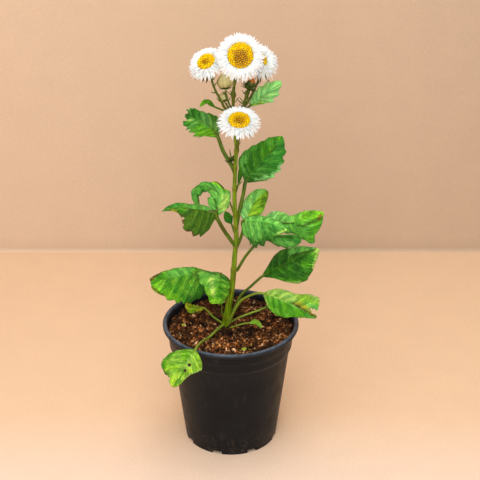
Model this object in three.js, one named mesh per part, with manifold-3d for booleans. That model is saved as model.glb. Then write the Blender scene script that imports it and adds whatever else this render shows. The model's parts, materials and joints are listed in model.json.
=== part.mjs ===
// A white aster in a black nursery pot. Millimetres, +Z up. The origin is the middle of
// the pot's base on the table, and the front of the plant looks along -Y.
import * as THREE from 'three';
import { mergeVertices } from 'three/addons/utils/BufferGeometryUtils.js';
import Module from 'manifold-3d';

const wasm = await Module();
wasm.setup();

// Driving dimensions
const POT_HEIGHT = 124;
const RIM_RADIUS = 65;
const BASE_RADIUS = 44.3;
const WALL = 1.6;
const WALL_SLOPE = 0.126;          // growth of the radius for each mm of height
const LIP_WIDTH = 4.2;
const LIP_DEPTH = 4.6;
const COLLAR_LOW = 97.5;            // heights of the two small steps of the collar
const STEP_RISE = 3;               // the lower step slants over this height
const COLLAR_HIGH = 109;
const COLLAR_RADIUS = 58.7;        // outside, just above the lower step
const NECK_RADIUS = 61.2;          // outside, just under the lip
const FLOOR_LOW = 3.6;             // the floor stands on the feet and on the middle pad
const FLOOR_TOP = 5.4;
const FOOT_INNER_RADIUS = 39.5;
const PAD_RADIUS = 12;
const DRAINS = 8;
const DRAIN_WIDTH = 9.4;
const FIRST_DRAIN = -17.5;         // degrees from the front, positive towards +X
const ROUND_STEPS = 36;

const SOIL_HEIGHT = 117;
const SOIL_LUMP = 1.2;
const SEAT = 0.3;                  // clearance of a piece to the one that carries it
const STEM_FOOT_Z = 99;            // the stem's foot stands in the soil

const BLADE = 0.7;                 // thickness of a leaf blade

// Rays in a layer, their sizes and their foot as shares of the head's radius, and how steeply
// the first layer stands, in degrees, and how much more the last one does
const FLOWER = {
  rays: 19, rayWidth: 0.23, rayThick: 0.05, rayFoot: 0.42, raySunk: 0.05, firstRise: -6, riseSpan: 45,
};

// The common base of the rays: [radius, height] as shares of the head's radius
const RAY_CORE = [[0, -0.1], [0.44, -0.1], [0.62, 0.01], [0.6, 0.11], [0.5, 0.1], [0, 0.02]];

const BLACK = '#28221f';
const SOIL_BROWN = '#6a4826';
const STEM_GREEN = '#757a14';
const LEAF_GREEN = '#4d8f26';
const RAY_WHITE = '#f8f5e8';
const DISC_YELLOW = '#cc9608';
const BUD_ORANGE = '#e89a4a';

// The main stem: centre line and radius, from its foot in the soil to the fork
const MAIN_STEM = [
  [-5, 4, STEM_FOOT_Z, 3.6], [-5, 4, 116, 3.7], [-3, 3, 130, 3.3], [-1, 2, 145, 3.0], [2, 1, 166, 2.6],
  [4, 0, 194, 2.3], [5.5, 0, 211, 2.1], [5, 0, 227, 2.0], [4, 0, 249, 1.9], [4, 0, 266, 1.8],
  [5, 0, 293, 1.8], [6, 1, 302, 1.9], [5, 2, 312, 1.8], [5, 3, 324, 1.7], [5, 4, 336, 1.6],
];

// Each flower stalk or shoot: [x, y, z, radius] along its centre line
const SHOOTS = {
  lower: [
    [6, 1, 300, 1.5], [7, -4, 311, 1.3], [8, -12, 322, 1.2], [8.2, -18.5, 329, 1.3], [8.2, -21.5, 333, 1.4],
  ],
  left: [
    [4, 4, 333, 1.3], [-4, 4, 339, 1.0], [-8, 3, 347, 0.9], [-13, 3, 357, 0.9], [-17, 4, 369, 1.0],
    [-18.4, 6.8, 377.5, 1.2],
  ],
  centre: [
    [5, 4, 334, 1.4], [3, 3, 343, 1.1], [3, 2, 354, 1.0], [5, 0, 368, 1.0], [8, -3, 381, 1.1],
    [9, -6, 389, 1.3],
  ],
  right: [
    [6, 4, 333, 1.3], [14, 8, 341, 1.0], [20, 13, 350, 0.9], [25, 18, 360, 0.9], [25.5, 19, 370, 1.1],
    [25, 17, 376.5, 1.2],
  ],
  smallBud: [[6, 4, 333, 1.3], [12, 5, 342, 1.0], [14, 4, 349, 1.0], [16.5, 2.5, 358, 1.2]],
  closedBud: [[3, 5, 334, 1.1], [0, 9, 340, 0.8], [-3.5, 14, 347, 0.8], [-4, 16, 352, 1.0]],
  youngBud: [[3, 6, 333, 1.0], [-1, 12, 336, 0.8], [-4, 16, 340, 0.9]],
  strand: [[-5, 5, 117, 1.1], [-8, 8, 128, 0.8], [-9, 10, 137, 0.6]],
  twig: [[4, 0, 236, 1.2], [1, 1, 244, 0.9], [-1, 2, 250, 0.6]],
  twigRight: [[4, 1, 262, 1.0], [8, 2, 266, 0.7], [11, 3, 269, 0.6]],
};

// Narrow bracts on the stalks: [x, y, z] of the root and of the tip
const BRACTS = [
  [[5, 1, 299], [-2, 0, 307]], [[2, 1, 296], [-4, 0, 300]], [[-8, 3, 346], [-12, 1, 351]],
  [[-12, 3, 355], [-17, 2, 356]], [[-16, 4, 366], [-12, 3, 371]], [[3, 2, 352], [-3, 2, 357]],
  [[5, 0, 368], [10, -1, 370]], [[3, 3, 345], [8, 2, 351]], [[12, 5, 343], [6, 4, 349]],
  [[13, 4, 347], [17, 2, 351]], [[21, 14, 351], [18, 11, 357]], [[5, 4, 336], [1, 0, 344]],
];

// Each head: middle of the disc's foot, the way it faces, its radius, the disc's share of it,
// its layers of rays and the seed of their spread
const HEADS = {
  centre: {
    at: [9.3, -11, 394.2], faces: [0, -0.9, 0.44], radius: 21.2, disc: 0.55, layers: 3, seed: 11,
  },
  left: {
    at: [-20.2, 4, 382.2], faces: [-0.34, -0.5, 0.8], radius: 16.6, disc: 0.48, layers: 2, seed: 23,
  },
  right: {
    at: [27.5, 13, 380.5], faces: [0.42, -0.6, 0.68], radius: 17.2, disc: 0.38, layers: 2, seed: 37,
  },
  lower: {
    at: [8.2, -24, 337.5], faces: [0.03, -0.4, 0.91], radius: 19.4, disc: 0.49, layers: 3, seed: 51,
  },
};

// Closed buds: middle of the foot, direction, radius and length
const BUDS = {
  bud_closed: {
    at: [-4, 17, 355], faces: [-0.1, 0.2, 1], radius: 6.3, length: 12, colour: RAY_WHITE, ribs: 9,
  },
  bud_young: {
    at: [-5, 17, 342.5], faces: [-0.3, 0.2, 1], radius: 3.4, length: 7, colour: RAY_WHITE, ribs: 7,
  },
  bud_orange: {
    at: [17.5, 2, 361], faces: [0.5, -0.1, 1], radius: 2.6, length: 8, colour: BUD_ORANGE, ribs: 6,
  },
};

// A leaf: its stalk from the stem to the blade's foot, and one or more blades. A blade has
// its rib from the foot to the tip, the way its upper face looks at the foot and at the tip,
// the half-widths of its left and right side from foot to tip (left as seen with the upper
// face up and the tip ahead), how far each side folds up from flat, how much it curls
// further at the edge, in degrees, and the number of teeth on a side.
const LEAVES = {
  leaf_upper_right: {
    stalk: [[6, 1, 224], [9, 3, 242], [12, 6, 254]], radius: [1.5, 1.1], blades: [{
      rib: [[14, 9, 265], [20, 11, 274], [30, 14, 285], [40, 17, 296], [48, 18, 307]],
      face: [[-0.1, -0.9, 0.45], [-0.2, -0.8, 0.6]], teeth: 7, depth: 0.13,
      left: [1.5, 13, 18.5, 17.5, 15, 12, 8, 0], right: [1.5, 11, 16.5, 18, 17.5, 14, 9, 0],
      fold: [12, 6], curl: [-18, -16], ripple: 1.0 }],
  },
  leaf_upper_left: {
    stalk: [[2, 1, 283], [-4, 3, 294], [-7, 4, 300]], radius: [1.7, 1.2], blades: [{
      rib: [[-11, 6, 311], [-17, 8, 318], [-25, 10, 323], [-33, 12, 327], [-41, 13, 329]],
      face: [[0, -0.85, 0.5], [0, -0.9, 0.4]], teeth: 6, depth: 0.12,
      left: [1.5, 8, 13, 14, 13, 11.5, 9, 2], right: [1.5, 9, 12, 11, 9.5, 8.5, 7.5, 4],
      fold: [8, 8], curl: [-14, -14], ripple: 0.8 }],
  },
  leaf_top_right: {
    stalk: [[11, 6, 337], [15, 8, 338]], radius: [1.2, 1.0], blades: [{
      rib: [[18, 9, 340], [25, 14, 344], [35, 20, 350], [47, 27, 357]],
      face: [[0, -0.75, 0.65], [0.1, -0.75, 0.65]], teeth: 5, depth: 0.16,
      left: [1.2, 5, 7.5, 8.5, 8, 5.5, 0], right: [1.2, 4, 7, 10, 9.5, 6, 0],
      fold: [10, 14], curl: [-14, -18], ripple: 0.7 }],
  },
  leaf_bract: {
    stalk: [[1, 3, 335], [-9, 1, 340]], radius: [1.0, 0.8], blades: [{
      rib: [[-14, -1, 343], [-18, -3, 347], [-22, -5, 348.5], [-27, -8, 345]],
      face: [[-0.3, -0.7, 0.7], [-0.5, -0.5, 0.7]], teeth: 2, depth: 0.1,
      left: [0.9, 2.2, 3, 2.6, 0], right: [0.9, 2.2, 3, 2.6, 0],
      fold: [18, 18], curl: [0, 0], ripple: 0 }],
  },
  leaf_middle_left: {
    stalk: [[4, -1, 205], [-5, -5, 221], [-11.5, -8, 235]], radius: [1.6, 1.3], blades: [{
      rib: [[-14, -9, 243], [-25, -12, 247], [-36, -14, 249.5], [-49, -15, 251], [-63, -16, 247]],
      face: [[0, -0.45, 0.9], [0, -0.45, 0.9]], teeth: 6, depth: 0.1, lean: -0.3,
      left: [6, 19, 24.5, 25.5, 21, 5, 2.5, 0], right: [2, 6, 6, 6, 6, 5.5, 4, 0],
      fold: [-38, -4], curl: [-24, -10], ripple: 0.6 }, {
      rib: [
        [-13, -8, 239], [-11, -3, 249], [-12, 1, 257], [-19, 4, 262], [-26.5, 2, 262],
        [-32, -2, 256.5], [-29, -7, 248],
      ],
      face: [[0, -0.9, 0.4], [-0.7, -0.6, 0.4]], teeth: 6, depth: 0.12, lean: 0.1,
      left: [2, 7.5, 8, 5, 4.6, 5, 5, 1.5], right: [2, 10.5, 11.5, 7.5, 5.2, 5.2, 5, 1.5],
      fold: [0, 0], curl: [0, 0], ripple: 0.4 }],
  },
  leaf_behind_stem: {
    stalk: [[5, 2, 213], [2.5, 4, 220]], radius: [1.0, 0.8], blades: [{
      rib: [[1, 6, 224], [-2, 8, 229], [-5, 11, 235]],
      face: [[-0.1, -0.7, 0.7], [-0.1, -0.7, 0.7]], teeth: 2, depth: 0.08,
      left: [0.9, 3.6, 4.4, 3, 0], right: [0.9, 3.6, 4.4, 3, 0],
      fold: [14, 14], curl: [0, 0], ripple: 0 }],
  },
  leaf_middle_right: {
    stalk: [[6, 0, 203], [10, -2, 215], [12, -4, 224]], radius: [1.5, 1.3], blades: [{
      rib: [[14, -4, 231], [18, 2, 240], [25, 9, 249], [34, 15, 254]],
      face: [[-0.3, -0.8, 0.5], [-0.5, -0.75, 0.4]], teeth: 4, depth: 0.07,
      left: [2, 9.5, 10, 9, 7.5, 5, 0], right: [2, 10, 12.5, 12, 10, 6, 0],
      fold: [0, 12], curl: [-10, -34], ripple: 0.4 }, {
      rib: [[11, -6, 232], [19, -10, 235.5], [30, -15, 236.5], [41, -19, 235.5], [52, -23, 231.5]],
      face: [[0, -0.55, 0.85], [0.1, -0.6, 0.8]], teeth: 6, depth: 0.1, lean: -0.25,
      left: [2, 5, 6.5, 7, 6.5, 4.5, 0], right: [12, 21, 24.5, 24.5, 20.5, 12, 0],
      fold: [-8, -40], curl: [-14, -12], ripple: 0.6 }],
  },
  leaf_right_long: {
    stalk: [[6, 0, 178], [14, -2, 194], [24, -2, 208]], radius: [1.4, 1.2], blades: [{
      rib: [[32, 2, 221], [42, 4, 226], [53, 3, 226], [66, 0, 232], [86, -6, 242]],
      face: [[-0.1, -0.6, 0.8], [0.1, -0.6, 0.8]], teeth: 6, depth: 0.1,
      left: [2, 11, 12, 10, 7, 7.5, 6, 0], right: [2, 7, 8, 10, 18, 23, 14, 1],
      fold: [10, -22], curl: [-20, -16], ripple: 0.9 }, {
      rib: [[29, 0, 216], [40, -3, 215], [52, -5, 215], [66, -8, 214]],
      face: [[0, -0.85, 0.5], [0, -0.85, 0.5]], teeth: 4, depth: 0.12,
      left: [1.6, 4.5, 4, 4, 3, 0], right: [1.6, 5, 8, 8.5, 6, 0],
      fold: [0, 0], curl: [-10, -14], ripple: 0.4 }],
  },
  leaf_low_right_dark: {
    stalk: [[-1, 4, 126], [4, 3, 137], [10, 3, 150], [19, 2, 160]], radius: [1.4, 1.2], blades: [{
      rib: [[30, 2, 171], [46, 1, 182], [64, 0, 193], [83, -1, 202]],
      face: [[0, -0.8, 0.6], [0.1, -0.8, 0.6]], teeth: 6, depth: 0.07, lean: 0.12,
      left: [1, 5.5, 11, 13, 11.5, 9, 5, 0], right: [1, 7, 16, 22, 23.5, 20, 12, 1],
      fold: [6, 6], curl: [-22, -22], ripple: 0.9 }],
  },
  leaf_low_right_light: {
    stalk: [[-2, -1, 121], [3, -4, 136], [9, -6, 148], [15, -8, 154], [24, -10, 159]],
    radius: [1.3, 1.1], blades: [{
      rib: [[31, -12, 160], [44, -17, 158], [60, -22, 151], [81, -26, 142]],
      face: [[0, -0.7, 0.7], [0.1, -0.75, 0.65]], teeth: 6, depth: 0.08,
      left: [1.5, 6.5, 9.5, 10.5, 12, 16, 10, 0], right: [1.5, 11, 14.5, 15, 13.5, 9, 5, 1],
      fold: [10, 4], curl: [-18, -20], ripple: 0.9 }],
  },
  leaf_low_left: {
    stalk: [[1, 1, 157], [-2, 3, 166], [-10, 4, 172]], radius: [1.5, 1.3], blades: [{
      rib: [[-18, 4, 173], [-28, 5, 171], [-42, 6, 170], [-58, 5, 168], [-76.5, 2, 164.5]],
      face: [[0, -0.7, 0.7], [-0.1, -0.75, 0.65]], teeth: 7, depth: 0.08,
      left: [2, 17, 24, 27, 26, 23.5, 18, 6], right: [2, 4.5, 7, 8.5, 8.5, 8, 7, 3],
      fold: [-4, 4], curl: [-24, -22], ripple: 1.1 }, {
      rib: [[-9, 2, 173], [-11, -6, 170], [-12.5, -10, 160], [-13.5, -13, 149]],
      face: [[0.1, -0.8, 0.6], [0.1, -0.9, 0.4]], teeth: 5, depth: 0.1, lean: 0.1,
      left: [2, 8, 10.5, 11.5, 10, 7, 2], right: [2, 11, 16, 14, 9, 6, 2],
      fold: [-6, -8], curl: [-14, -12], ripple: 0.7 }],
  },
  leaf_withered: {
    stalk: [[-8, 4, 119], [-17, 3, 127], [-22, 3, 133]], radius: [0.9, 0.8], blades: [{
      rib: [[-26, 2, 137], [-32, -1, 137], [-39, -3, 141], [-41, -4, 149]],
      face: [[0, -0.9, 0.4], [0, -0.9, 0.3]], teeth: 3, depth: 0.12,
      left: [1, 4, 5, 4.5, 0], right: [1, 3.5, 4.5, 4, 0],
      fold: [16, 16], curl: [20, 20], ripple: 0.3 }],
  },
  leaf_front: {
    stalk: [[-7, 1, 119], [-13, -10, 119.5], [-20, -28, 122], [-26, -44, 127], [-30, -55, 129]],
    radius: [1.4, 1.1], blades: [{
      rib: [[-32, -62, 129], [-38, -71, 123], [-44, -77, 113], [-51.5, -80.5, 99]],
      face: [[0, -0.55, 0.85], [-0.1, -0.95, 0.3]], teeth: 5, depth: 0.12,
      left: [1.5, 11, 14.5, 13, 8.5, 5.5, 4, 0], right: [1.5, 13, 19, 21.5, 21, 17, 9, 0],
      fold: [4, 2], curl: [-20, -14], ripple: 0.8 }],
  },
  leaf_basal_small: {
    stalk: [[-3, 0, 115], [5, -5, 121], [12, -7, 124.5]], radius: [0.8, 0.7], blades: [{
      rib: [[18, -8, 126], [24, -9, 127], [30, -11, 122.5]],
      face: [[0, -0.6, 0.8], [0.4, -0.6, 0.6]], teeth: 2, depth: 0.14,
      left: [0.8, 2.6, 3, 2.6, 0], right: [0.8, 2.2, 2.6, 2.2, 0],
      fold: [12, 12], curl: [0, 0], ripple: 0 }],
  },
  leaf_basal_back: {
    stalk: [[-2, 5, 118], [8, 4, 125], [18, 4, 129.5], [26, 5, 132]], radius: [1.1, 0.9], blades: [{
      rib: [[33, 6, 135], [40, 7, 136.5], [48, 8, 136]],
      face: [[0, -0.6, 0.8], [0, -0.6, 0.8]], teeth: 2, depth: 0.1,
      left: [1, 3, 3.6, 3, 0], right: [1, 3.4, 4, 3, 0],
      fold: [8, 8], curl: [0, 0], ripple: 0 }],
  },
  leaf_stem_sprig: {
    stalk: [[4, 0, 256], [6, 2, 261]], radius: [0.9, 0.8], blades: [{
      rib: [[7.5, 4, 266], [8.5, 5, 274], [9, 6, 284]],
      face: [[0.2, -0.9, 0.3], [0.2, -0.9, 0.3]], teeth: 2, depth: 0.06,
      left: [0.8, 1.6, 1.9, 1.4, 0], right: [0.8, 1.9, 2.4, 1.6, 0],
      fold: [16, 16], curl: [0, 0], ripple: 0 }],
  },
};

const group = new THREE.Group();

// A seeded random number between 0 and 1
function dice(seed) {
  let state = seed;
  return () => {
    state = (state * 1664525 + 1013904223) % 4294967296;
    return state / 4294967296;
  };
}

// Value of a list spread evenly over 0 to 1, eased between its entries
function along(list, u) {
  const place = Math.min(Math.max(u, 0), 1) * (list.length - 1);
  const low = Math.min(Math.floor(place), list.length - 2);
  const share = place - low;
  return list[low] + (list[low + 1] - list[low]) * share;
}

function vector(point) {
  return new THREE.Vector3(point[0], point[1], point[2]);
}

// A solid from a closed geometry whose faces look outward
function solid(geometry) {
  const bare = new THREE.BufferGeometry();
  bare.setAttribute('position', geometry.getAttribute('position'));
  if (geometry.index) bare.setIndex(geometry.index);
  const merged = mergeVertices(bare, 1e-4);
  const kept = [];
  const index = merged.index.array;
  for (let i = 0; i < index.length; i += 3) {
    const [a, b, c] = [index[i], index[i + 1], index[i + 2]];
    if (a !== b && b !== c && c !== a) kept.push(a, b, c);
  }
  const vertProperties = new Float32Array(merged.getAttribute('position').array);
  return new wasm.Manifold(new wasm.Mesh({ numProp: 3, vertProperties, triVerts: new Uint32Array(kept) }));
}

// The largest single body of a solid
function mainBody(whole) {
  const bodies = whole.decompose();
  bodies.sort((a, b) => b.volume() - a.volume());
  return bodies[0];
}

function join(solids) {
  let whole = solids[0];
  for (const one of solids.slice(1)) whole = whole.add(one);
  return whole;
}

function addPiece(name, whole, colour, roughness) {
  const mesh = whole.getMesh();
  const geometry = new THREE.BufferGeometry();
  geometry.setAttribute('position', new THREE.BufferAttribute(new Float32Array(mesh.vertProperties), 3));
  geometry.setIndex(new THREE.BufferAttribute(new Uint32Array(mesh.triVerts), 1));
  geometry.computeVertexNormals();
  const material = new THREE.MeshStandardMaterial({ color: colour, roughness, metalness: 0 });
  const piece = new THREE.Mesh(geometry, material);
  piece.name = name;
  group.add(piece);
}

// Triangles of a closed mesh, gathered point by point
class Skin {
  constructor() {
    this.points = [];
    this.faces = [];
  }

  point(at) {
    this.points.push(at.x, at.y, at.z);
    return this.points.length / 3 - 1;
  }

  quad(a, b, c, d) {
    this.faces.push(a, b, c, a, c, d);
  }

  solid() {
    const geometry = new THREE.BufferGeometry();
    geometry.setAttribute('position', new THREE.Float32BufferAttribute(this.points, 3));
    geometry.setIndex(this.faces);
    return solid(geometry);
  }
}

// A closed skin through rings of points, each ring turning left about the way ahead
function skinThrough(rings) {
  const skin = new Skin();
  const rows = rings.map((ring) => ring.map((at) => skin.point(at)));
  const count = rings[0].length;
  for (let i = 0; i + 1 < rows.length; i += 1) {
    for (let k = 0; k < count; k += 1) {
      const next = (k + 1) % count;
      skin.quad(rows[i][k], rows[i][next], rows[i + 1][next], rows[i + 1][k]);
    }
  }
  const last = rows[rows.length - 1];
  for (let k = 1; k + 1 < count; k += 1) {
    skin.faces.push(rows[0][0], rows[0][k + 1], rows[0][k]);
    skin.faces.push(last[0], last[k], last[k + 1]);
  }
  return skin.solid();
}

// A round rod along [x, y, z, radius] places
function rod(places, sides, steps, extra = 0) {
  const curve = new THREE.CatmullRomCurve3(places.map(vector), false, 'catmullrom', 0.5);
  const radii = places.map((place) => place[3]);
  const frames = frameAlong(curve, steps);
  const rings = [];
  for (let i = 0; i <= steps; i += 1) {
    const u = i / steps;
    const radius = along(radii, u) + extra;
    const ring = [];
    for (let k = 0; k < sides; k += 1) {
      const angle = 2 * Math.PI * k / sides;
      const at = curve.getPoint(u);
      at.addScaledVector(frames[i].across, radius * Math.cos(angle));
      at.addScaledVector(frames[i].up, radius * Math.sin(angle));
      ring.push(at);
    }
    rings.push(ring);
  }
  return skinThrough(rings);
}

// Directions carried along a curve without twist
function frameAlong(curve, steps) {
  const frames = [];
  const first = curve.getTangent(0);
  let across = new THREE.Vector3(0, 1, 0).cross(first);
  if (across.length() < 0.2) across = new THREE.Vector3(1, 0, 0).cross(first);
  for (let i = 0; i <= steps; i += 1) {
    const ahead = curve.getTangent(i / steps);
    across = across.clone().addScaledVector(ahead, -across.dot(ahead)).normalize();
    frames.push({ ahead, across, up: ahead.clone().cross(across) });
  }
  return frames;
}

// A blade between an upper and a lower grid of points, split alike on both faces
function slab(upper, lower) {
  const skin = new Skin();
  const top = upper.map((row) => row.map((at) => skin.point(at)));
  const under = lower.map((row) => row.map((at) => skin.point(at)));
  const rows = top.length - 1;
  const columns = top[0].length - 1;
  for (let i = 0; i < rows; i += 1) {
    for (let k = 0; k < columns; k += 1) {
      skin.quad(top[i][k], top[i + 1][k], top[i + 1][k + 1], top[i][k + 1]);
      skin.faces.push(under[i][k], under[i + 1][k + 1], under[i + 1][k]);
      skin.faces.push(under[i][k], under[i][k + 1], under[i + 1][k + 1]);
    }
    skin.quad(under[i][0], under[i + 1][0], top[i + 1][0], top[i][0]);
    skin.quad(top[i][columns], top[i + 1][columns], under[i + 1][columns], under[i][columns]);
  }
  for (let k = 0; k < columns; k += 1) {
    skin.quad(top[0][k], top[0][k + 1], under[0][k + 1], under[0][k]);
    skin.quad(under[rows][k], under[rows][k + 1], top[rows][k + 1], top[rows][k]);
  }
  return skin.solid();
}

// The pot

function wallRadius(z) {
  return BASE_RADIUS + WALL_SLOPE * z;
}

// The inside of the wall, from the floor up
const INSIDE = [
  [wallRadius(FLOOR_TOP) - WALL, FLOOR_TOP], [wallRadius(COLLAR_LOW) - WALL, COLLAR_LOW + 1],
  [COLLAR_RADIUS - WALL, COLLAR_LOW + STEP_RISE + 1], [NECK_RADIUS - WALL, POT_HEIGHT - LIP_DEPTH],
];

function turned(profile) {
  const geometry = new THREE.LatheGeometry(profile.map(([r, z]) => new THREE.Vector2(r, z)), ROUND_STEPS);
  geometry.rotateX(Math.PI / 2);
  return solid(geometry);
}

function box(width, depth, height, x, y, z, turn) {
  const geometry = new THREE.BoxGeometry(width, depth, height);
  geometry.translate(x, y, z);
  geometry.rotateZ(turn);
  return solid(geometry);
}

function makePot() {
  const top = POT_HEIGHT;
  const lipInner = RIM_RADIUS - LIP_WIDTH;
  const lipFoot = top - LIP_DEPTH;
  const profile = [
    [0, 0], [PAD_RADIUS, 0], [PAD_RADIUS, FLOOR_LOW],
    [FOOT_INNER_RADIUS, FLOOR_LOW], [FOOT_INNER_RADIUS, 0],
    [BASE_RADIUS, 0], [wallRadius(COLLAR_LOW), COLLAR_LOW], [COLLAR_RADIUS, COLLAR_LOW + STEP_RISE],
    [COLLAR_RADIUS + 0.7, COLLAR_HIGH], [COLLAR_RADIUS + 1.4, COLLAR_HIGH + 1], [NECK_RADIUS, lipFoot],
    [RIM_RADIUS - 0.8, lipFoot + 0.4], [RIM_RADIUS, lipFoot + 1.6], [RIM_RADIUS - 0.1, top - 1.3],
    [RIM_RADIUS - 1.2, top], [lipInner + 0.8, top - 0.2], [lipInner, top - 1.6],
    ...INSIDE.toReversed(), [0, FLOOR_TOP],
  ];
  let pot = turned(profile);
  const notch = FLOOR_LOW - 0.1;
  for (let i = 0; i < DRAINS; i += 1) {
    const turn = THREE.MathUtils.degToRad(FIRST_DRAIN + i * 360 / DRAINS);
    const slot = box(DRAIN_WIDTH, 12, 2 * notch, 0, -FOOT_INNER_RADIUS - 5, 0, turn);
    const hole = box(DRAIN_WIDTH - 3, 7, 16, 0, -FOOT_INNER_RADIUS + 1.5, 0, turn);
    pot = pot.subtract(slot).subtract(hole);
  }
  return pot;
}

// The soil fills the pot and stays clear of its wall; the stem stands in a plain hole

function makeSoil() {
  const foot = FLOOR_TOP + SEAT;
  const edge = NECK_RADIUS - WALL - 0.9;
  const profile = [[0, foot], ...INSIDE.slice(0, 3).map(([r, z]) => [r - 2 * SEAT, Math.max(z, foot)])];
  profile.push([edge, SOIL_HEIGHT - 2]);
  const rings = 6;
  for (let i = 1; i <= rings; i += 1) profile.push([edge * (1 - i / rings) * 0.998, SOIL_HEIGHT]);
  const points = profile.map(([r, z]) => new THREE.Vector2(r, z));
  const geometry = new THREE.LatheGeometry(points, ROUND_STEPS);
  geometry.rotateX(Math.PI / 2);
  const position = geometry.getAttribute('position');
  for (let i = 0; i < position.count; i += 1) {
    const [x, y, z] = [position.getX(i), position.getY(i), position.getZ(i)];
    if (z < SOIL_HEIGHT - 0.5) continue;
    const wide = Math.sin(x * 0.31 + 1.3) * Math.cos(y * 0.27 - x * 0.11);
    const fine = 0.6 * Math.sin(x * 0.7 + y * 0.83);
    const calm = Math.min(1, 0.2 + Math.hypot(x, y) / 15);
    position.setZ(i, SOIL_HEIGHT - SOIL_LUMP / 2 + SOIL_LUMP * (wide + fine) * calm);
  }
  const [x, y, , radius] = MAIN_STEM[0];
  const wide = radius + 2 * SEAT;
  const hole = rod([[x, y, STEM_FOOT_Z - SEAT, wide], [x, y, SOIL_HEIGHT + 10, wide]], 10, 1);
  return mainBody(solid(geometry).subtract(hole));
}

// The stem with its stalks, cups and bracts

// Turns a local frame with +Z up to a place and a direction
function stand(at, faces) {
  const up = vector(faces).normalize();
  const side = new THREE.Vector3(1, 0, 0).addScaledVector(up, -up.x).normalize();
  const ahead = up.clone().cross(side);
  return new THREE.Matrix4().makeBasis(side, ahead, up).setPosition(vector(at));
}

// A green cup under a head: [radius, height] from its foot up, closed on the axis
function cup(at, faces, radius, depth, extra = 0) {
  const r = radius + extra;
  const foot = -depth - extra;
  const points = [[0, foot], [r * 0.28, foot], [r * 0.72, -depth * 0.55], [r, -0.2], [0, -0.2]];
  const geometry = new THREE.LatheGeometry(points.map(([x, y]) => new THREE.Vector2(x, y)), 10);
  geometry.rotateX(Math.PI / 2);
  geometry.applyMatrix4(stand(at, faces));
  return solid(geometry);
}

// A slim pointed leaflet with three sides
function spike(from, to, width) {
  const root = vector(from);
  const tip = vector(to);
  const way = tip.clone().sub(root);
  const across = way.clone().cross(new THREE.Vector3(0, -0.9, 0.44)).normalize().multiplyScalar(width);
  const up = across.clone().cross(way).normalize().multiplyScalar(width * 0.6);
  const ring = (at, share) => [
    at.clone().addScaledVector(across, share), at.clone().addScaledVector(up, share),
    at.clone().addScaledVector(across, -share),
  ];
  const middle = root.clone().addScaledVector(way, 0.5);
  return skinThrough([ring(root, 0.8), ring(middle, 1), ring(tip, 0.15)]);
}

function headCups(extra = 0) {
  const cups = Object.values(HEADS).map((head) => {
    const depth = head.radius * 0.3;
    const back = vector(head.at).addScaledVector(vector(head.faces).normalize(), -head.radius * 0.11);
    return cup(back.toArray(), head.faces, head.radius * 0.46, depth, extra);
  });
  for (const bud of Object.values(BUDS)) {
    cups.push(cup(bud.at, bud.faces, bud.radius * 1.02, bud.length * 0.5, extra));
  }
  return cups;
}

function stemRods(extra = 0) {
  const rods = [rod(MAIN_STEM, 7, 22, extra)];
  for (const places of Object.values(SHOOTS)) rods.push(rod(places, 5, places.length + 2, extra));
  return rods;
}

function makeStem() {
  const parts = stemRods().concat(headCups());
  for (const [root, tip] of BRACTS) parts.push(spike(root, tip, 0.7));
  const swelling = new THREE.SphereGeometry(2.5, 8, 6);
  swelling.scale(1, 1, 1.9);
  swelling.translate(3, 2, 353);
  parts.push(solid(swelling));
  return mainBody(join(parts));
}

// Leaves

const TOOTH_PEAK = 0.72;           // where a tooth is widest, from its foot at 0 to the next at 1

// Share of the full width where a tooth stands at u
function toothShare(u, teeth, depth) {
  const place = (u * teeth) % 1;
  const rise = place < TOOTH_PEAK ? place / TOOTH_PEAK : (1 - place) / (1 - TOOTH_PEAK);
  return 1 - depth * (1 - rise) * Math.min(1, 4 * u);
}

// A point of a blade and its upward direction, u from foot to tip, v from right -1 to left 1
function bladePoint(curve, blade, u, v) {
  const at = curve.getPoint(u);
  const ahead = curve.getTangent(u);
  const face = vector(blade.face[0]).lerp(vector(blade.face[1]), u);
  const side = face.cross(ahead).normalize();
  const up = ahead.clone().cross(side);
  const hand = v > 0 ? 0 : 1;
  const reach = Math.abs(v);
  const width = along(hand === 0 ? blade.left : blade.right, u) * toothShare(u, blade.teeth, blade.depth);
  const angle = THREE.MathUtils.degToRad(blade.fold[hand] + blade.curl[hand] * reach / 2);
  const wave = blade.ripple * reach * reach * Math.sin(Math.PI * (u * 5 + hand)) * Math.sin(Math.PI * u);
  at.addScaledVector(side, Math.sign(v) * width * reach * Math.cos(angle));
  at.addScaledVector(up, width * reach * Math.sin(angle) + wave);
  at.addScaledVector(ahead, (blade.lean ?? 0.22) * width * reach * (1 - u));
  return at;
}

function bladeSolid(blade) {
  const curve = new THREE.CatmullRomCurve3(blade.rib.map(vector), false, 'catmullrom', 0.5);
  const stations = [];
  for (let i = 0; i < blade.teeth; i += 1) {
    stations.push(i / blade.teeth);
    stations.push((i + TOOTH_PEAK) / blade.teeth);
  }
  stations[0] = 0.012;
  stations.push(0.99);
  const wide = Math.max(...blade.left, ...blade.right) > 9;
  const columns = wide ? [-1, -0.5, 0, 0.5, 1] : [-1, 0, 1];
  const grid = stations.map((u) => columns.map((v) => bladePoint(curve, blade, u, v)));
  const upper = [];
  const lower = [];
  for (let i = 0; i < grid.length; i += 1) {
    const above = [];
    const below = [];
    for (let k = 0; k < columns.length; k += 1) {
      const ahead = grid[Math.min(i + 1, grid.length - 1)][k].clone().sub(grid[Math.max(i - 1, 0)][k]);
      const across = grid[i][Math.min(k + 1, columns.length - 1)].clone().sub(grid[i][Math.max(k - 1, 0)]);
      const out = ahead.cross(across).normalize().multiplyScalar(BLADE / 2);
      above.push(grid[i][k].clone().add(out));
      below.push(grid[i][k].clone().sub(out));
    }
    upper.push(above);
    lower.push(below);
  }
  return slab(upper, lower);
}

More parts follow.
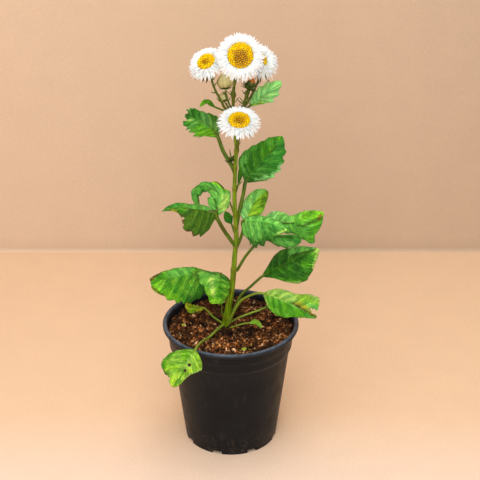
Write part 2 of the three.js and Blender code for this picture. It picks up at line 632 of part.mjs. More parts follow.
function makeLeaf(leaf, clearance) {
  const parts = [];
  const [thick, slim] = leaf.radius;
  leaf.blades.forEach((blade, order) => {
    const count = leaf.stalk.length;
    const stalk = order === 0 ? leaf.stalk : leaf.stalk.slice(count - 1);
    const places = stalk.map(([x, y, z], i) => [x, y, z, thick + (slim - thick) * i / count]);
    places.push([...blade.rib[0], slim], [...blade.rib[1], slim * 0.5]);
    parts.push(rod(places, 4, places.length));
    parts.push(bladeSolid(blade));
  });
  return mainBody(join(parts).subtract(clearance));
}

// Flower heads

const DISC_STEPS = 18;
const DISC_RINGS = 5;
const DISC = { foot: 0.03, shoulder: 0.08, rise: 0.16 };   // heights as shares of the head's radius
const FLORET_RISE = 0.8;

// One ray: three-sided, slim at its root and pointed at its tip, along +X with its ridge up
function ray(length, radius) {
  const width = FLOWER.rayWidth * radius;
  const thick = FLOWER.rayThick * radius;
  const root = FLOWER.raySunk * radius;
  const places = [[root, 0.5], [root + (length - root) * 0.78, 1], [length, 0]];
  const rings = places.map(([x, share]) => [
    new THREE.Vector3(x, width * share / 2, 0), new THREE.Vector3(x, 0, thick * share),
    new THREE.Vector3(x, -width * share / 2, 0),
  ]);
  return skinThrough(rings);
}

function makeRays(head) {
  const random = dice(head.seed);
  const spread = (amount) => amount * (random() - 0.5);
  const r = head.radius;
  const core = RAY_CORE.map(([x, y]) => new THREE.Vector2(x * r, y * r));
  const base = new THREE.LatheGeometry(core, DISC_STEPS);
  base.rotateX(Math.PI / 2);
  const parts = [solid(base)];
  for (let layer = 0; layer < head.layers; layer += 1) {
    const rise = THREE.MathUtils.degToRad(FLOWER.firstRise + FLOWER.riseSpan * layer / head.layers);
    const reach = r * (1.02 - 0.06 * layer);
    const height = r * (0.035 * layer - 0.03);
    for (let i = 0; i < FLOWER.rays; i += 1) {
      const turn = 2 * Math.PI * (i + layer / head.layers + spread(0.25)) / FLOWER.rays;
      const one = ray(reach * (1.01 + spread(0.08)) - FLOWER.rayFoot * r, r);
      const place = new THREE.Matrix4().makeRotationZ(turn)
        .multiply(new THREE.Matrix4().makeTranslation(FLOWER.rayFoot * r, 0, height))
        .multiply(new THREE.Matrix4().makeRotationY(-rise - spread(0.06)))
        .multiply(new THREE.Matrix4().makeRotationX(spread(0.3)));
      parts.push(one.transform(place.elements));
    }
  }
  return mainBody(join(parts).subtract(discSocket(head))).transform(stand(head.at, head.faces).elements);
}

// A ring of points round the head's axis
function discRing(radius, heightAt) {
  const ring = [];
  for (let turn = 0; turn < DISC_STEPS; turn += 1) {
    const angle = 2 * Math.PI * turn / DISC_STEPS;
    ring.push(new THREE.Vector3(radius * Math.cos(angle), radius * Math.sin(angle), heightAt(turn)));
  }
  return ring;
}

// The room that the rays leave for the disc
function discSocket(head) {
  const radius = head.radius * head.disc + SEAT;
  const foot = DISC.foot * head.radius - SEAT;
  return skinThrough([discRing(radius, () => foot), discRing(radius, () => head.radius)]);
}

// The disc: a low dome, each floret a small peak of its surface
function makeDisc(head) {
  const foot = DISC.foot * head.radius;
  const shoulder = DISC.shoulder * head.radius;
  const rise = DISC.rise * head.radius;
  const skin = new Skin();
  const peak = (row, turn) => row > 0 && row < DISC_RINGS && (row + turn) % 2 === 0;
  const under = skin.point(new THREE.Vector3(0, 0, foot));
  const rows = [discRing(head.radius * head.disc, () => foot)];
  for (let row = 1; row <= DISC_RINGS; row += 1) {
    const share = 1.02 - row / (DISC_RINGS + 1);
    const dome = shoulder + rise * Math.sqrt(1 - share * share);
    const height = (turn) => dome + (peak(row, turn) ? FLORET_RISE : 0);
    rows.push(discRing(head.radius * head.disc * share, height));
  }
  const index = rows.map((row) => row.map((at) => skin.point(at)));
  const tip = skin.point(new THREE.Vector3(0, 0, shoulder + rise));
  for (let turn = 0; turn < DISC_STEPS; turn += 1) {
    const next = (turn + 1) % DISC_STEPS;
    skin.faces.push(under, index[0][next], index[0][turn]);
    for (let row = 0; row < DISC_RINGS; row += 1) {
      const [low, high] = [index[row], index[row + 1]];
      const corners = [low[turn], low[next], high[next], high[turn]];
      if (peak(row, turn) || peak(row + 1, next)) corners.push(corners.shift());
      skin.quad(...corners);
    }
    skin.faces.push(index[DISC_RINGS][turn], index[DISC_RINGS][next], tip);
  }
  return skin.solid().transform(stand(head.at, head.faces).elements);
}

// A closed bud: an egg with ribs where its folded rays lie
function makeBud(bud) {
  const steps = bud.ribs * 2;
  const profile = [];
  const rows = 6;
  for (let i = 0; i <= rows; i += 1) {
    const share = i / rows;
    const bulge = Math.sin(Math.PI * (0.35 + 0.65 * share));
    profile.push([i === rows ? 0 : Math.max(bud.radius * bulge, 0.2), bud.length * share]);
  }
  profile.unshift([0, 0]);
  const geometry = new THREE.LatheGeometry(profile.map(([x, y]) => new THREE.Vector2(x, y)), steps);
  geometry.rotateX(Math.PI / 2);
  const position = geometry.getAttribute('position');
  for (let i = 0; i < position.count; i += 1) {
    const turn = Math.floor(i / profile.length) % steps;
    if (turn % 2 === 0) continue;
    position.setX(i, position.getX(i) * 0.86);
    position.setY(i, position.getY(i) * 0.86);
  }
  return solid(geometry).transform(stand(bud.at, bud.faces).elements);
}

const soil = makeSoil();
addPiece('pot', makePot(), BLACK, 0.45);
addPiece('soil', soil, SOIL_BROWN, 0.95);
addPiece('stem', makeStem(), STEM_GREEN, 0.6);

const stemClearance = join(stemRods(SEAT));
const leafClearance = join([stemClearance, soil.translate([0, 0, SEAT])]);
for (const [name, leaf] of Object.entries(LEAVES)) {
  addPiece(name, makeLeaf(leaf, leafClearance), LEAF_GREEN, 0.5);
}
const cupClearance = join(headCups(SEAT).concat([stemClearance]));
for (const [name, head] of Object.entries(HEADS)) {
  addPiece(`rays_${name}`, mainBody(makeRays(head).subtract(cupClearance)), RAY_WHITE, 0.6);
  addPiece(`disc_${name}`, makeDisc(head), DISC_YELLOW, 0.7);
}
for (const [name, bud] of Object.entries(BUDS)) addPiece(name, makeBud(bud), bud.colour, 0.6);

export default group;
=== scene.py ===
import json
import math

import bpy
import numpy as np
from mathutils import Matrix, Vector, noise

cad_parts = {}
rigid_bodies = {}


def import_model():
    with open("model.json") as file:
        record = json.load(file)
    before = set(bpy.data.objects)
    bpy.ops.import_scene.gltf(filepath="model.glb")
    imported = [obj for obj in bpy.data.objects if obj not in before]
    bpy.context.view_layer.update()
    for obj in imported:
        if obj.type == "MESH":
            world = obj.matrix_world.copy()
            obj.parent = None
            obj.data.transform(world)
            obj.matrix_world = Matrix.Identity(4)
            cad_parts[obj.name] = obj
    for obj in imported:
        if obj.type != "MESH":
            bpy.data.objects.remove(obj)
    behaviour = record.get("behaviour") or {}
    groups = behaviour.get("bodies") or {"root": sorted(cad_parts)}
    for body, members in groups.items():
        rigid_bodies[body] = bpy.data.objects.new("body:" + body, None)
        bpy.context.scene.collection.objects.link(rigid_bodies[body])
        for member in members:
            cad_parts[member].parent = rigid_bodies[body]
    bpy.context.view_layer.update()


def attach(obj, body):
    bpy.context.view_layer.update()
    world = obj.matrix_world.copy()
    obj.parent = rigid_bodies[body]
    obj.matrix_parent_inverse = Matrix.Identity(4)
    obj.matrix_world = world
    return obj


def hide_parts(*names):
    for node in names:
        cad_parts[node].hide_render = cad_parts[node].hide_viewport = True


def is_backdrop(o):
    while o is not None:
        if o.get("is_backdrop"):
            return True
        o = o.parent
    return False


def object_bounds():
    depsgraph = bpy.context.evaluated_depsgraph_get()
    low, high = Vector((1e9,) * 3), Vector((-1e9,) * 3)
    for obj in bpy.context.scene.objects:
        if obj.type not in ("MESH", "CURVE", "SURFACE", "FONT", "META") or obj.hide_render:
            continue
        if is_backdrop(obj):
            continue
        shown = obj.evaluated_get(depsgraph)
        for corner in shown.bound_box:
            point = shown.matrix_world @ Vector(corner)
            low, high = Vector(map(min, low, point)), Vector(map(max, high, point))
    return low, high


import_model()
MM = 0.001

# Studio. A matt beige paper floor meets a wall of the same paper 0.4 m behind the pot. A large
# soft lamp hangs over the plant, a weaker one stands by the camera, and a small cool one lights
# the upper edges from behind. The wall is clear from behind, so that it hides no back view.
# The paper's colour carries painted light and shade: lighter near the camera and on the wall's
# left, darker towards the far floor and at the wall's foot.
FLOOR_COLOUR = (0.8, 0.565, 0.375)
# The near floor colour paints light near the camera; the far one paints shade towards the wall.
NEAR_FLOOR_LIT_COLOUR = (0.81, 0.61, 0.47)
FAR_FLOOR_SHADED_COLOUR = (0.735, 0.495, 0.313)
WALL_COLOUR = (0.58, 0.412, 0.284)
WALL_Y = 0.391
COVE = 0.004                      # radius of the bend between floor and wall
WALL_FOOT = 0.0002                # how far the bend's foot lies over the floor
PAPER_BUMP = 0.00008
LAMP_AIM = (0, 0, 0.2)
ROOM_LIGHT = (1.0, 0.98, 0.94, 1)
ROOM_STRENGTH = 0.4
LAMPS = {                         # place, power in watts, side of the square in metres, colour
    "lamp_key": ((-0.14, -0.72, 1.6), 18, 1.3, (0.98, 0.985, 0.98)),
    "lamp_front": ((-0.15, -2.1, 1.15), 27, 1.1, (0.99, 0.99, 1.0)),
    "lamp_rim": ((0.12, 0.2, 1.3), 2.6, 0.45, (0.86, 0.94, 1.0)),
}


class Value:
    """A value in a node tree. A sum written with it becomes a node of that tree."""

    def __init__(self, socket):
        self.socket, self.tree = socket, socket.id_data

    def __add__(self, other):
        return calc("ADD", self, other)

    def __sub__(self, other):
        return calc("SUBTRACT", self, other)

    def __mul__(self, other):
        return calc("MULTIPLY", self, other)

    def __truediv__(self, other):
        return calc("DIVIDE", self, other)

    def beside(self, name):
        """Another output of the same node."""
        return Value(self.socket.node.outputs[name])


def add(tree, kind, inputs=None, out=0, **settings):
    """One output of a new node, with its inputs linked or set by name or number."""
    node = tree.nodes.new(kind)
    for name, value in settings.items():
        setattr(node, name, value)
    for key, value in (inputs or {}).items():
        if isinstance(value, Value):
            tree.links.new(value.socket, node.inputs[key])
        else:
            node.inputs[key].default_value = value
    return Value(node.outputs[out]) if node.outputs else None


def combined(kind, values, out=0, **settings):
    """A node that works on numbers and node values, in the tree of these."""
    tree = next(value.tree for value in values if isinstance(value, Value))
    return add(tree, kind, dict(enumerate(values)), out, **settings)


def calc(operation, *values):
    """The result of a sum on numbers and node values."""
    return combined("ShaderNodeMath", values, operation=operation)


def between(value, low, high, start=0.0, end=1.0):
    """A value brought from low..high to start..end, and kept there."""
    return combined("ShaderNodeMapRange", (value, low, high, start, end))


def mixed(share, first, second, how="MIX"):
    """Two colours blended by a share."""
    first, second = ((*part, 1) if isinstance(part, tuple) else part for part in (first, second))
    tree = next(part.tree for part in (share, first, second) if isinstance(part, Value))
    return add(tree, "ShaderNodeMix", {0: share, 6: first, 7: second}, 2, data_type="RGBA", blend_type=how)


def times(first, second):
    """One colour multiplied by another."""
    return mixed(1.0, first, second, "MULTIPLY")


def finish(name, **constants):
    """A material with one Principled shader, and its node tree."""
    material = bpy.data.materials.new(name)
    material.use_nodes = True
    for label, value in constants.items():
        label = "Specular IOR Level" if label == "specular" else label.replace("_", " ").title()
        material.node_tree.nodes["Principled BSDF"].inputs[label].default_value = value
    return material, material.node_tree


def dress(tree, **values):
    """Leads values to the shader's inputs."""
    for label, value in values.items():
        tree.links.new(value.socket, tree.nodes["Principled BSDF"].inputs[label.replace("_", " ").title()])


def relief(tree, height, depth):
    """Bump of a given depth in metres."""
    dress(tree, normal=add(tree, "ShaderNodeBump", {"Height": height, "Distance": depth}))


def here(tree):
    """Where a point of the surface lies, in the object's own coordinates."""
    return add(tree, "ShaderNodeTexCoord", out="Object")


def axes(tree):
    """The x, y and z of a point of the surface."""
    split = add(tree, "ShaderNodeSeparateXYZ", {0: here(tree)})
    return [split.beside(axis) for axis in "XYZ"]


def speckle(tree, scale, detail=2, stretch=None, warp=0.0, place=None):
    """Noise in the object's own coordinates, in grains per metre, or at another place."""
    place = place or here(tree)
    if stretch:
        place = add(tree, "ShaderNodeMapping", {"Vector": place, "Scale": stretch})
    inputs = {"Vector": place, "Scale": scale, "Detail": detail, "Distortion": warp}
    return add(tree, "ShaderNodeTexNoise", inputs, "Fac")


def placed(name, thing):
    """An object of a mesh, lamp or camera, at the origin."""
    piece = bpy.data.objects.new(name, thing)
    bpy.context.collection.objects.link(piece)
    return piece


turns = [step * math.pi / 16 for step in range(9)]
bend = [(WALL_Y - COVE + COVE * math.sin(turn), WALL_FOOT + COVE - COVE * math.cos(turn)) for turn in turns]
# Each sheet's second value is painted side light: it makes the wall lighter on its left and darker on its
# right, as if lit from the left. The floor gets none.
for name, painted_side_light, outline in (
    ("studio_floor", 0.0, [(-4, 0), (6, 0)]),
    ("studio_wall", 0.11, [*bend, (WALL_Y, 4)]),
):
    paper, tree = finish(name, roughness=0.85, specular=0.2)
    across, deep, high = axes(tree)
    if name == "studio_wall":
        # Painted shade: the wall's colour darkens by 7 % towards its foot, where it meets the floor.
        colour = times(WALL_COLOUR, between(high, COVE, 0.02, 0.93, 1))
        colour = mixed(between(high, 0.0, 0.3 * COVE), FAR_FLOOR_SHADED_COLOUR, colour)
        behind = add(tree, "ShaderNodeNewGeometry", out="Backfacing")
        front = Value(tree.nodes["Principled BSDF"].outputs[0])
        both = combined("ShaderNodeMixShader", (behind, front, add(tree, "ShaderNodeBsdfTransparent")))
        tree.links.new(both.socket, tree.nodes["Material Output"].inputs["Surface"])
    else:
        # Painted shade darkens the floor towards the wall, and painted light lightens it near the camera.
        colour = mixed(between(deep, -0.2, WALL_Y), FLOOR_COLOUR, FAR_FLOOR_SHADED_COLOUR)
        colour = mixed(between(deep, 0.03, -0.09), colour, NEAR_FLOOR_LIT_COLOUR)
    cloud = between(speckle(tree, 30, 3), 0.3, 0.7, 0.985, 1.015)
    flecks = between(speckle(tree, 420, 3), 0.3, 0.7, 0.965, 1.035)
    # The base colour carries the painted side light, with random clouds and flecks.
    dress(tree, base_color=times(colour, cloud * flecks * between(across, -0.3, 0.3, 1 + painted_side_light, 1 - painted_side_light)))
    relief(tree, speckle(tree, 900), PAPER_BUMP)
    sheet = bpy.data.meshes.new(name)
    corners = [(x, y, z) for y, z in outline for x in (-5, 5)]
    sheet.from_pydata(corners, [], [(k, k + 1, k + 3, k + 2) for k in range(0, len(corners) - 2, 2)])
    sheet.materials.append(paper)
    sheet.shade_smooth()
    placed(name, sheet)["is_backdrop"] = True

for name, (place, power, side, colour) in LAMPS.items():
    lamp = placed(name, bpy.data.lights.new(name, "AREA"))
    lamp.data.energy, lamp.data.size, lamp.data.color = power, side, colour
    lamp.location = place
    lamp.rotation_euler = (Vector(LAMP_AIM) - Vector(place)).to_track_quat("-Z", "Y").to_euler()

room = bpy.data.worlds.new("room")
room.use_nodes = True
room.node_tree.nodes["Background"].inputs["Color"].default_value = ROOM_LIGHT
room.node_tree.nodes["Background"].inputs["Strength"].default_value = ROOM_STRENGTH
bpy.context.scene.world = room
bpy.context.scene.view_settings.view_transform = "Standard"

camera = placed("camera", bpy.data.cameras.new("camera"))
camera.data.lens = 108.2
camera.data.sensor_width = 36
camera.data.clip_start = 0.05
camera.location = (0.0089, -1.2, 0.809)
camera.rotation_euler = (math.radians(63.48), 0, 0)
bpy.context.scene.camera = camera

# Pot. One thin moulding of black polypropylene with a rounded lip, a collar with two small
# steps, a tapering wall and feet with drainage slots between them. The slots and the holes
# in the floor are cut through the turned form. A bluish highlight is painted along the lip's top.
POT_STEPS = 192
POT_PROFILE = [                   # radius and height, from the middle of the base, round the lip
    (0, 0), (12, 0), (12, 3.6), (39.5, 3.6), (39.5, 0.4), (39.9, 0), (43.9, 0), (44.3, 0.35),
    (44.9, 5), (45.6, 10), (47.5, 25), (50.0, 45), (52.5, 65), (55.0, 85), (56.5, 97), (56.75, 97.7),
    (58.4, 100.1), (58.7, 100.7), (59.0, 104), (59.4, 108.7), (59.6, 109.2), (60.0, 109.8),
    (60.2, 110.4), (60.7, 114.5), (61.2, 119.2), (61.6, 119.45), (63.6, 119.5), (64.4, 119.8),
    (64.9, 120.5), (65.05, 121.4), (64.95, 122.5), (64.55, 123.3), (63.9, 123.8), (63.1, 124),
    (62.2, 123.9), (61.5, 123.5), (61.0, 122.8), (60.5, 121.5), (59.6, 119.2), (58.2, 108.5),
    (57.1, 101.5), (55.0, 98.5), (48.4, 45), (44.6, 14), (43.6, 6.2), (42.8, 5.4), (0, 5.4),
]
DRAIN_COUNT = 8
FIRST_DRAIN = -17.5               # degrees from the front, positive towards +X
SLOT = ((9.4, 12, 7), -44.5)      # a cut's size, and its y before it is turned about the axis
HOLE = ((6.4, 7, 16), -38)
SHARP_EDGE = math.radians(38)


def turned(profile, steps):
    """Points and faces of a turned form through (radius, height), closed on the axis."""
    points, rings, faces = [], [], []
    for radius, height in profile:
        count = steps if radius > 0 else 1
        rings.append(list(range(len(points), len(points) + count)))
        for step in range(count):
            turn = math.tau * step / steps
            points.append((radius * math.cos(turn), radius * math.sin(turn), height))
    for low, high in zip(rings, rings[1:]):
        for step in range(steps):
            ahead = step + 1
            corners = [low[step % len(low)], low[ahead % len(low)],
                       high[ahead % len(high)], high[step % len(high)]]
            faces.append(list(dict.fromkeys(corners)))
    return np.array(points), faces


def new_mesh(name, points, faces, surface=None, smooth=True, **values):
    """A mesh from points in millimetres, with its material, and with values kept on its points."""
    mesh = bpy.data.meshes.new(name)
    mesh.from_pydata((np.asarray(points) * MM).tolist(), [], faces)
    for label, numbers in values.items():
        numbers = np.asarray(numbers, float)
        kind, field = ("FLOAT", "value") if numbers.ndim == 1 else ("FLOAT_COLOR", "color")
        mesh.attributes.new(label, kind, "POINT").data.foreach_set(field, numbers.ravel())
    if surface:
        mesh.materials.append(surface)
    if smooth:
        mesh.shade_smooth()
    return mesh


def baked(thing):
    """The plain mesh that an object's modifiers make, with the object itself removed."""
    graph = bpy.context.evaluated_depsgraph_get()
    mesh = bpy.data.meshes.new_from_object(thing.evaluated_get(graph))
    thing.modifiers.clear()
    bpy.data.objects.remove(thing)
    return mesh


def block(size, front, turn):
    """A box turned about the pot's axis, to cut with."""
    corners = [(x, y, z) for x in (-1, 1) for y in (-1, 1) for z in (-1, 1)]
    faces = [(0, 1, 3, 2), (4, 6, 7, 5), (0, 4, 5, 1), (2, 3, 7, 6), (0, 2, 6, 4), (1, 5, 7, 3)]
    points = np.array(corners) * np.array(size) / 2 + np.array((0, front, 0))
    mesh = new_mesh("cutter", points, faces, smooth=False)
    mesh.transform(Matrix.Rotation(turn, 4, "Z"))
    return placed("cutter", mesh)


pot_blank = placed("pot_blank", new_mesh("pot_blank", *turned(POT_PROFILE, POT_STEPS)))
turns = [math.radians(FIRST_DRAIN + number * 360 / DRAIN_COUNT) for number in range(DRAIN_COUNT)]
cutters = [block(*cut, turn) for turn in turns for cut in (SLOT, HOLE)]
for cutter in cutters:
    cut = pot_blank.modifiers.new("cut", "BOOLEAN")
    cut.operation, cut.object, cut.solver = "DIFFERENCE", cutter, "EXACT"
pot_mesh = baked(pot_blank)
for cutter in cutters:
    bpy.data.objects.remove(cutter)
pot_mesh.shade_smooth()
pot_mesh.set_sharp_from_angle(angle=SHARP_EDGE)

plastic, tree = finish("satin black plastic", specular=0.15)
up = axes(tree)[2]
dust = between(up, 0.03, 0.0) * between(speckle(tree, 260, 5, warp=0.4), 0.48, 0.7)
scuffs = between(speckle(tree, 180, 6, (1, 1, 0.35), 0.6), 0.62, 0.72)
cloudy = between(speckle(tree, 45, 4), 0.35, 0.65)
black = mixed(cloudy, (0.0035, 0.0042, 0.0056), (0.006, 0.0068, 0.0088))
worn = mixed(scuffs * 0.3, black, (0.035, 0.034, 0.034))
dusty = mixed(dust * 0.45, worn, (0.09, 0.065, 0.045))
# Painted highlight along the lip: a faint bluish sheen over its outer top and a thin bright line on its
# crest, broken by noise. The lip is glossier there too.
painted_lip_sheen = between(up, 0.1205, 0.1226, 0, 0.3) + between(up, 0.1228, 0.1238, 0, 0.7)
painted_lip_sheen = painted_lip_sheen * between(speckle(tree, 150, 5, warp=0.5), 0.3, 0.65, 0.35, 1)
satin = between(speckle(tree, 90, 5), 0.3, 0.7, 0.36, 0.52)
dress(tree, base_color=mixed(painted_lip_sheen, dusty, (0.085, 0.112, 0.15)),
      roughness=mixed(painted_lip_sheen, satin, (0.2, 0.2, 0.2)))
relief(tree, speckle(tree, 1500) + scuffs * -0.6, 0.00005)
pot_mesh.materials.clear()
pot_mesh.materials.append(plastic)
pot_body = placed("pot_body", pot_mesh)
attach(pot_body, "root")
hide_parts("pot")

# Soil. A loose, moist mix of coco and peat fills the pot: clods, bark chips, coir fibres and a
# little moss. The bed is one closed lump, and its loose bits are scattered over it.
SOIL_TOP = 117
SOIL_RADIUS = 58.6
SOIL_RINGS = 92
SOIL_STEPS = 260
SOIL_SIDE = [(0, 5.7), (42.8, 5.7), (54.4, 98.4), (56.5, 101.4), (SOIL_RADIUS - 0.1, 113)]
BARE_BELOW = 113.5                # nothing loose lies lower than this
CLODS_PER_SQUARE_METRE = 430000
CHIPS_PER_SQUARE_METRE = 80000
FIBRES_PER_SQUARE_METRE = 16000
TUFTS_PER_SQUARE_METRE = 5200000
MOSS_SPOTS = [                    # x, y and radius
    (9.5, -39.5, 2.2), (13, -40, 2.6), (16.5, -39.5, 1.7), (-45, 2, 2.0), (26, -30, 1.8), (20, -33, 1.4),
    (-24, -46, 2.0),
]
# Painted shade in front of the stem, under the leaves, and painted light by the front rim.
SHADED_SOIL_SPOT = ((0.01, -0.011, 0.117), 0.009, 0.023, 0.42)       # metres: place, inner and outer radius; light
LIT_SOIL_SPOT = ((-0.002, -0.037, 0.117), 0.011, 0.027, 1.5)


def soil_height(x, y):
    """The soil's surface: the CAD's slow waves with clods and crumbs on them."""
    wide = math.sin(x * 0.31 + 1.3) * math.cos(y * 0.27 - x * 0.11)
    fine = 0.6 * math.sin(x * 0.7 + y * 0.83)
    calm = min(1, 0.2 + math.hypot(x, y) / 15)
    clods = 2.2 * noise.noise((x * 0.14, y * 0.14, 1)) + 2.2 * noise.noise((x * 0.36, y * 0.36, 5))
    crumbs = 1.3 * abs(noise.noise((x * 0.9, y * 0.9, 9)))
    return SOIL_TOP - 1.0 + (wide + fine) * calm + clods + crumbs


def tree_with(name, **inputs):
    """An empty geometry node tree with named inputs, and these as node values."""
    tree = bpy.data.node_groups.new(name, "GeometryNodeTree")
    tree.is_modifier = True
    for label, value in {"Geometry": "Geometry", **inputs}.items():
        kind = value if isinstance(value, str) else type(value).__name__.title()
        socket = tree.interface.new_socket(
            label.replace("_", " "), in_out="INPUT", socket_type="NodeSocket" + kind)
        if value != kind:
            socket.default_value = value
    tree.interface.new_socket("Geometry", in_out="OUTPUT", socket_type="NodeSocketGeometry")
    given = add(tree, "NodeGroupInput").socket.node.outputs
    return tree, {socket.name: Value(socket) for socket in given}


def closed(tree, geometry, given):
    """The tree, ended in real geometry with its material."""
    real = add(tree, "GeometryNodeRealizeInstances", {0: geometry})
    dressed = add(tree, "GeometryNodeSetMaterial", {"Geometry": real, "Material": given["Finish"]})
    add(tree, "NodeGroupOutput", {0: dressed})
    return tree


def grown(tree, mesh, **values):
    """The plain mesh that a tree makes of a mesh; values are named as the tree's inputs."""
    host = placed("host", mesh)
    modifier = host.modifiers.new("grow", "NODES")
    modifier.node_group = tree
    for item in tree.interface.items_tree:
        label = item.name.lower().replace(" ", "_")
        if item.in_out == "INPUT" and label in values:
            modifier[item.identifier] = values[label]
    return baked(host)


def vector(operation, *values, out=0, **scale):
    """The result of a sum on vectors."""
    tree = values[0].tree
    return add(tree, "ShaderNodeVectorMath", {**dict(enumerate(values)), **scale}, out, operation=operation)


def xyz(*values):
    """A vector of three values."""
    return combined("ShaderNodeCombineXYZ", values)


def dice(number, low, high, seed):
    """A random value for each numbered element, from a fixed seed."""
    first, out, kind = (0, 0, "FLOAT_VECTOR") if isinstance(low, tuple) else (2, 1, "FLOAT")
    inputs = {first: low, first + 1: high, 7: number, 8: seed}
    return add(number.tree, "FunctionNodeRandomValue", inputs, out, data_type=kind)


def spun(turn, more):
    """A rotation turned on about its own axes."""
    return add(turn.tree, "FunctionNodeRotateRotation", {0: turn, 1: more}, rotation_space="LOCAL")


def laid(spots, given, turn, size, **pick):
    """One of a collection's pieces on each spot."""
    pieces = add(spots.tree, "GeometryNodeCollectionInfo", {0: given["Pieces"], 1: True, 2: True})
    inputs = {"Points": spots, "Instance": pieces, "Pick Instance": True, "Rotation": turn, "Scale": size}
    return add(spots.tree, "GeometryNodeInstanceOnPoints", {**inputs, **pick})


def noted(geometry, domain="INSTANCE", **values):
    """Geometry with named numbers kept on it."""
    for name, value in values.items():
        inputs = {"Geometry": geometry, "Name": name, "Value": value}
        geometry = add(geometry.tree, "GeometryNodeStoreNamedAttribute", inputs, domain=domain,
                       data_type="FLOAT")
    return geometry


def scatter_tree():
    """Scatters the pieces of a collection over a surface."""
    tree, given = tree_with(
        "scatter", Pieces="Collection", Density=1000.0, Smallest=0.5, Largest=1.0, Rarity=1.0, Tumble=3.1,
        Seed=1, Finish="Material")
    inputs = {"Mesh": given["Geometry"], "Density": given["Density"], "Seed": given["Seed"]}
    spots = add(tree, "GeometryNodeDistributePointsOnFaces", inputs)
    number = add(tree, "GeometryNodeInputIndex")
    luck = calc("POWER", dice(number, 0.0, 1.0, 11), given["Rarity"])
    lean = vector("SCALE", dice(number, (-1, -1, -1), (1, 1, 1), 12), Scale=given["Tumble"])
    turn = spun(spun(spots.beside("Rotation"), lean), xyz(0.0, 0.0, dice(number, 0.0, math.tau, 13)))
    pieces = laid(spots, given, turn, between(luck, 0.0, 1.0, given["Smallest"], given["Largest"]))
    return closed(tree, noted(pieces, tint=dice(number, 0.0, 1.0, 14)), given)


def variants(name, meshes):
    """A hidden collection of like shapes for a tree to pick from."""
    collection = bpy.data.collections.new(name)
    for order, mesh in enumerate(meshes):
        collection.objects.link(bpy.data.objects.new(f"{name}_{order}", mesh))
    return collection


def drop(*collections):
    for collection in collections:
        for thing in list(collection.objects):
            bpy.data.objects.remove(thing)
        bpy.data.collections.remove(collection)


def joined(name, meshes):
    """Several plain meshes as one, with their materials and attributes."""
    things = [placed(name, mesh) for mesh in meshes]
    with bpy.context.temp_override(active_object=things[0], selected_editable_objects=things):
        bpy.ops.object.join()
    mesh = things[0].data
    bpy.data.objects.remove(things[0])
    return mesh


def clod(seed, size, squeeze):
    """A rough lump of 20 faces, squeezed along its sides."""
    golden = (1 + math.sqrt(5)) / 2
    corners = [Vector(v).normalized() for v in (
        (-1, golden, 0), (1, golden, 0), (-1, -golden, 0), (1, -golden, 0), (0, -1, golden),
        (0, 1, golden), (0, -1, -golden), (0, 1, -golden), (golden, 0, -1), (golden, 0, 1),
        (-golden, 0, -1), (-golden, 0, 1))]
    faces = [(0, 11, 5), (0, 5, 1), (0, 1, 7), (0, 7, 10), (0, 10, 11), (1, 5, 9), (5, 11, 4),
             (11, 10, 2), (10, 7, 6), (7, 1, 8), (3, 9, 4), (3, 4, 2), (3, 2, 6), (3, 6, 8),
             (3, 8, 9), (4, 9, 5), (2, 4, 11), (6, 2, 10), (8, 6, 7), (9, 8, 1)]
    points = []
    for corner in corners:
        grown_by = 1 + 0.55 * noise.noise(corner * 1.3 + Vector((seed * 7.1, 0, 0)))
        points.append([size * grown_by * side * share for side, share in zip(corner, squeeze)])
    return new_mesh("clod", points, faces, smooth=False)


def thread(seed, length, radius, sway, sides=3, steps=7, taper=0.4):
    """A thin bent strand along +X, closed at both ends."""
    points, faces = [], []
    for step in range(steps):
        share = step / (steps - 1)
        y = sway * noise.noise((share * 2, seed, 0))
        z = 0.6 * sway * noise.noise((share * 2, seed, 7))
        thick = radius * (1 - taper * share)
        for side in range(sides):
            turn = math.tau * side / sides
            points.append((length * (share - 0.5), y + thick * math.cos(turn), z + thick * math.sin(turn)))
            low, ahead = step * sides, (side + 1) % sides
            if step < steps - 1:
                faces.append((low + side, low + ahead, low + sides + ahead, low + sides + side))
    faces.append(tuple(reversed(range(sides))))
    faces.append(tuple(range((steps - 1) * sides, steps * sides)))
    return new_mesh("thread", points, faces)


def painted(tree, name, out="Fac"):
    """A value kept on the mesh's points."""
    return add(tree, "ShaderNodeAttribute", out=out, attribute_name=name)


def watered(tree):
    """How light the mix is: painted shade darkens it in front of the stem, under the leaves, and painted
    light lightens it by the front rim.
    """
    light = []
    for spot, inner, outer, share in (SHADED_SOIL_SPOT, LIT_SOIL_SPOT):
        away = vector("DISTANCE", here(tree), spot, out="Value") + speckle(tree, 160, 3) * 0.006
        light.append(between(away, inner, outer, share, 1.0))
    return light[0] * light[1]


soil_rings = [(SOIL_RADIUS * (1 - ring / SOIL_RINGS), SOIL_TOP) for ring in range(SOIL_RINGS)]
points, faces = turned(SOIL_SIDE + soil_rings + [(0, SOIL_TOP)], SOIL_STEPS)
for point in points:
    if point[2] == SOIL_TOP:
        point[2] = soil_height(point[0], point[1])
top_faces = [face for face in faces if all(points[corner][2] > BARE_BELOW for corner in face)]

bed_earth, tree = finish("moist earth", roughness=0.88, specular=0.1)
patches = between(speckle(tree, 420, 5, warp=0.5), 0.36, 0.66)
grit = between(speckle(tree, 1700, 3), 0.45, 0.72)
earth = mixed(patches, (0.008, 0.0035, 0.0015), (0.07, 0.026, 0.007))
earth = mixed(grit * 0.25, earth, (0.22, 0.095, 0.03))
# The bed's colour carries the painted light and shade of the two spots.
dress(tree, base_color=times(earth, watered(tree)))
relief(tree, speckle(tree, 1300, 5), 0.0006)

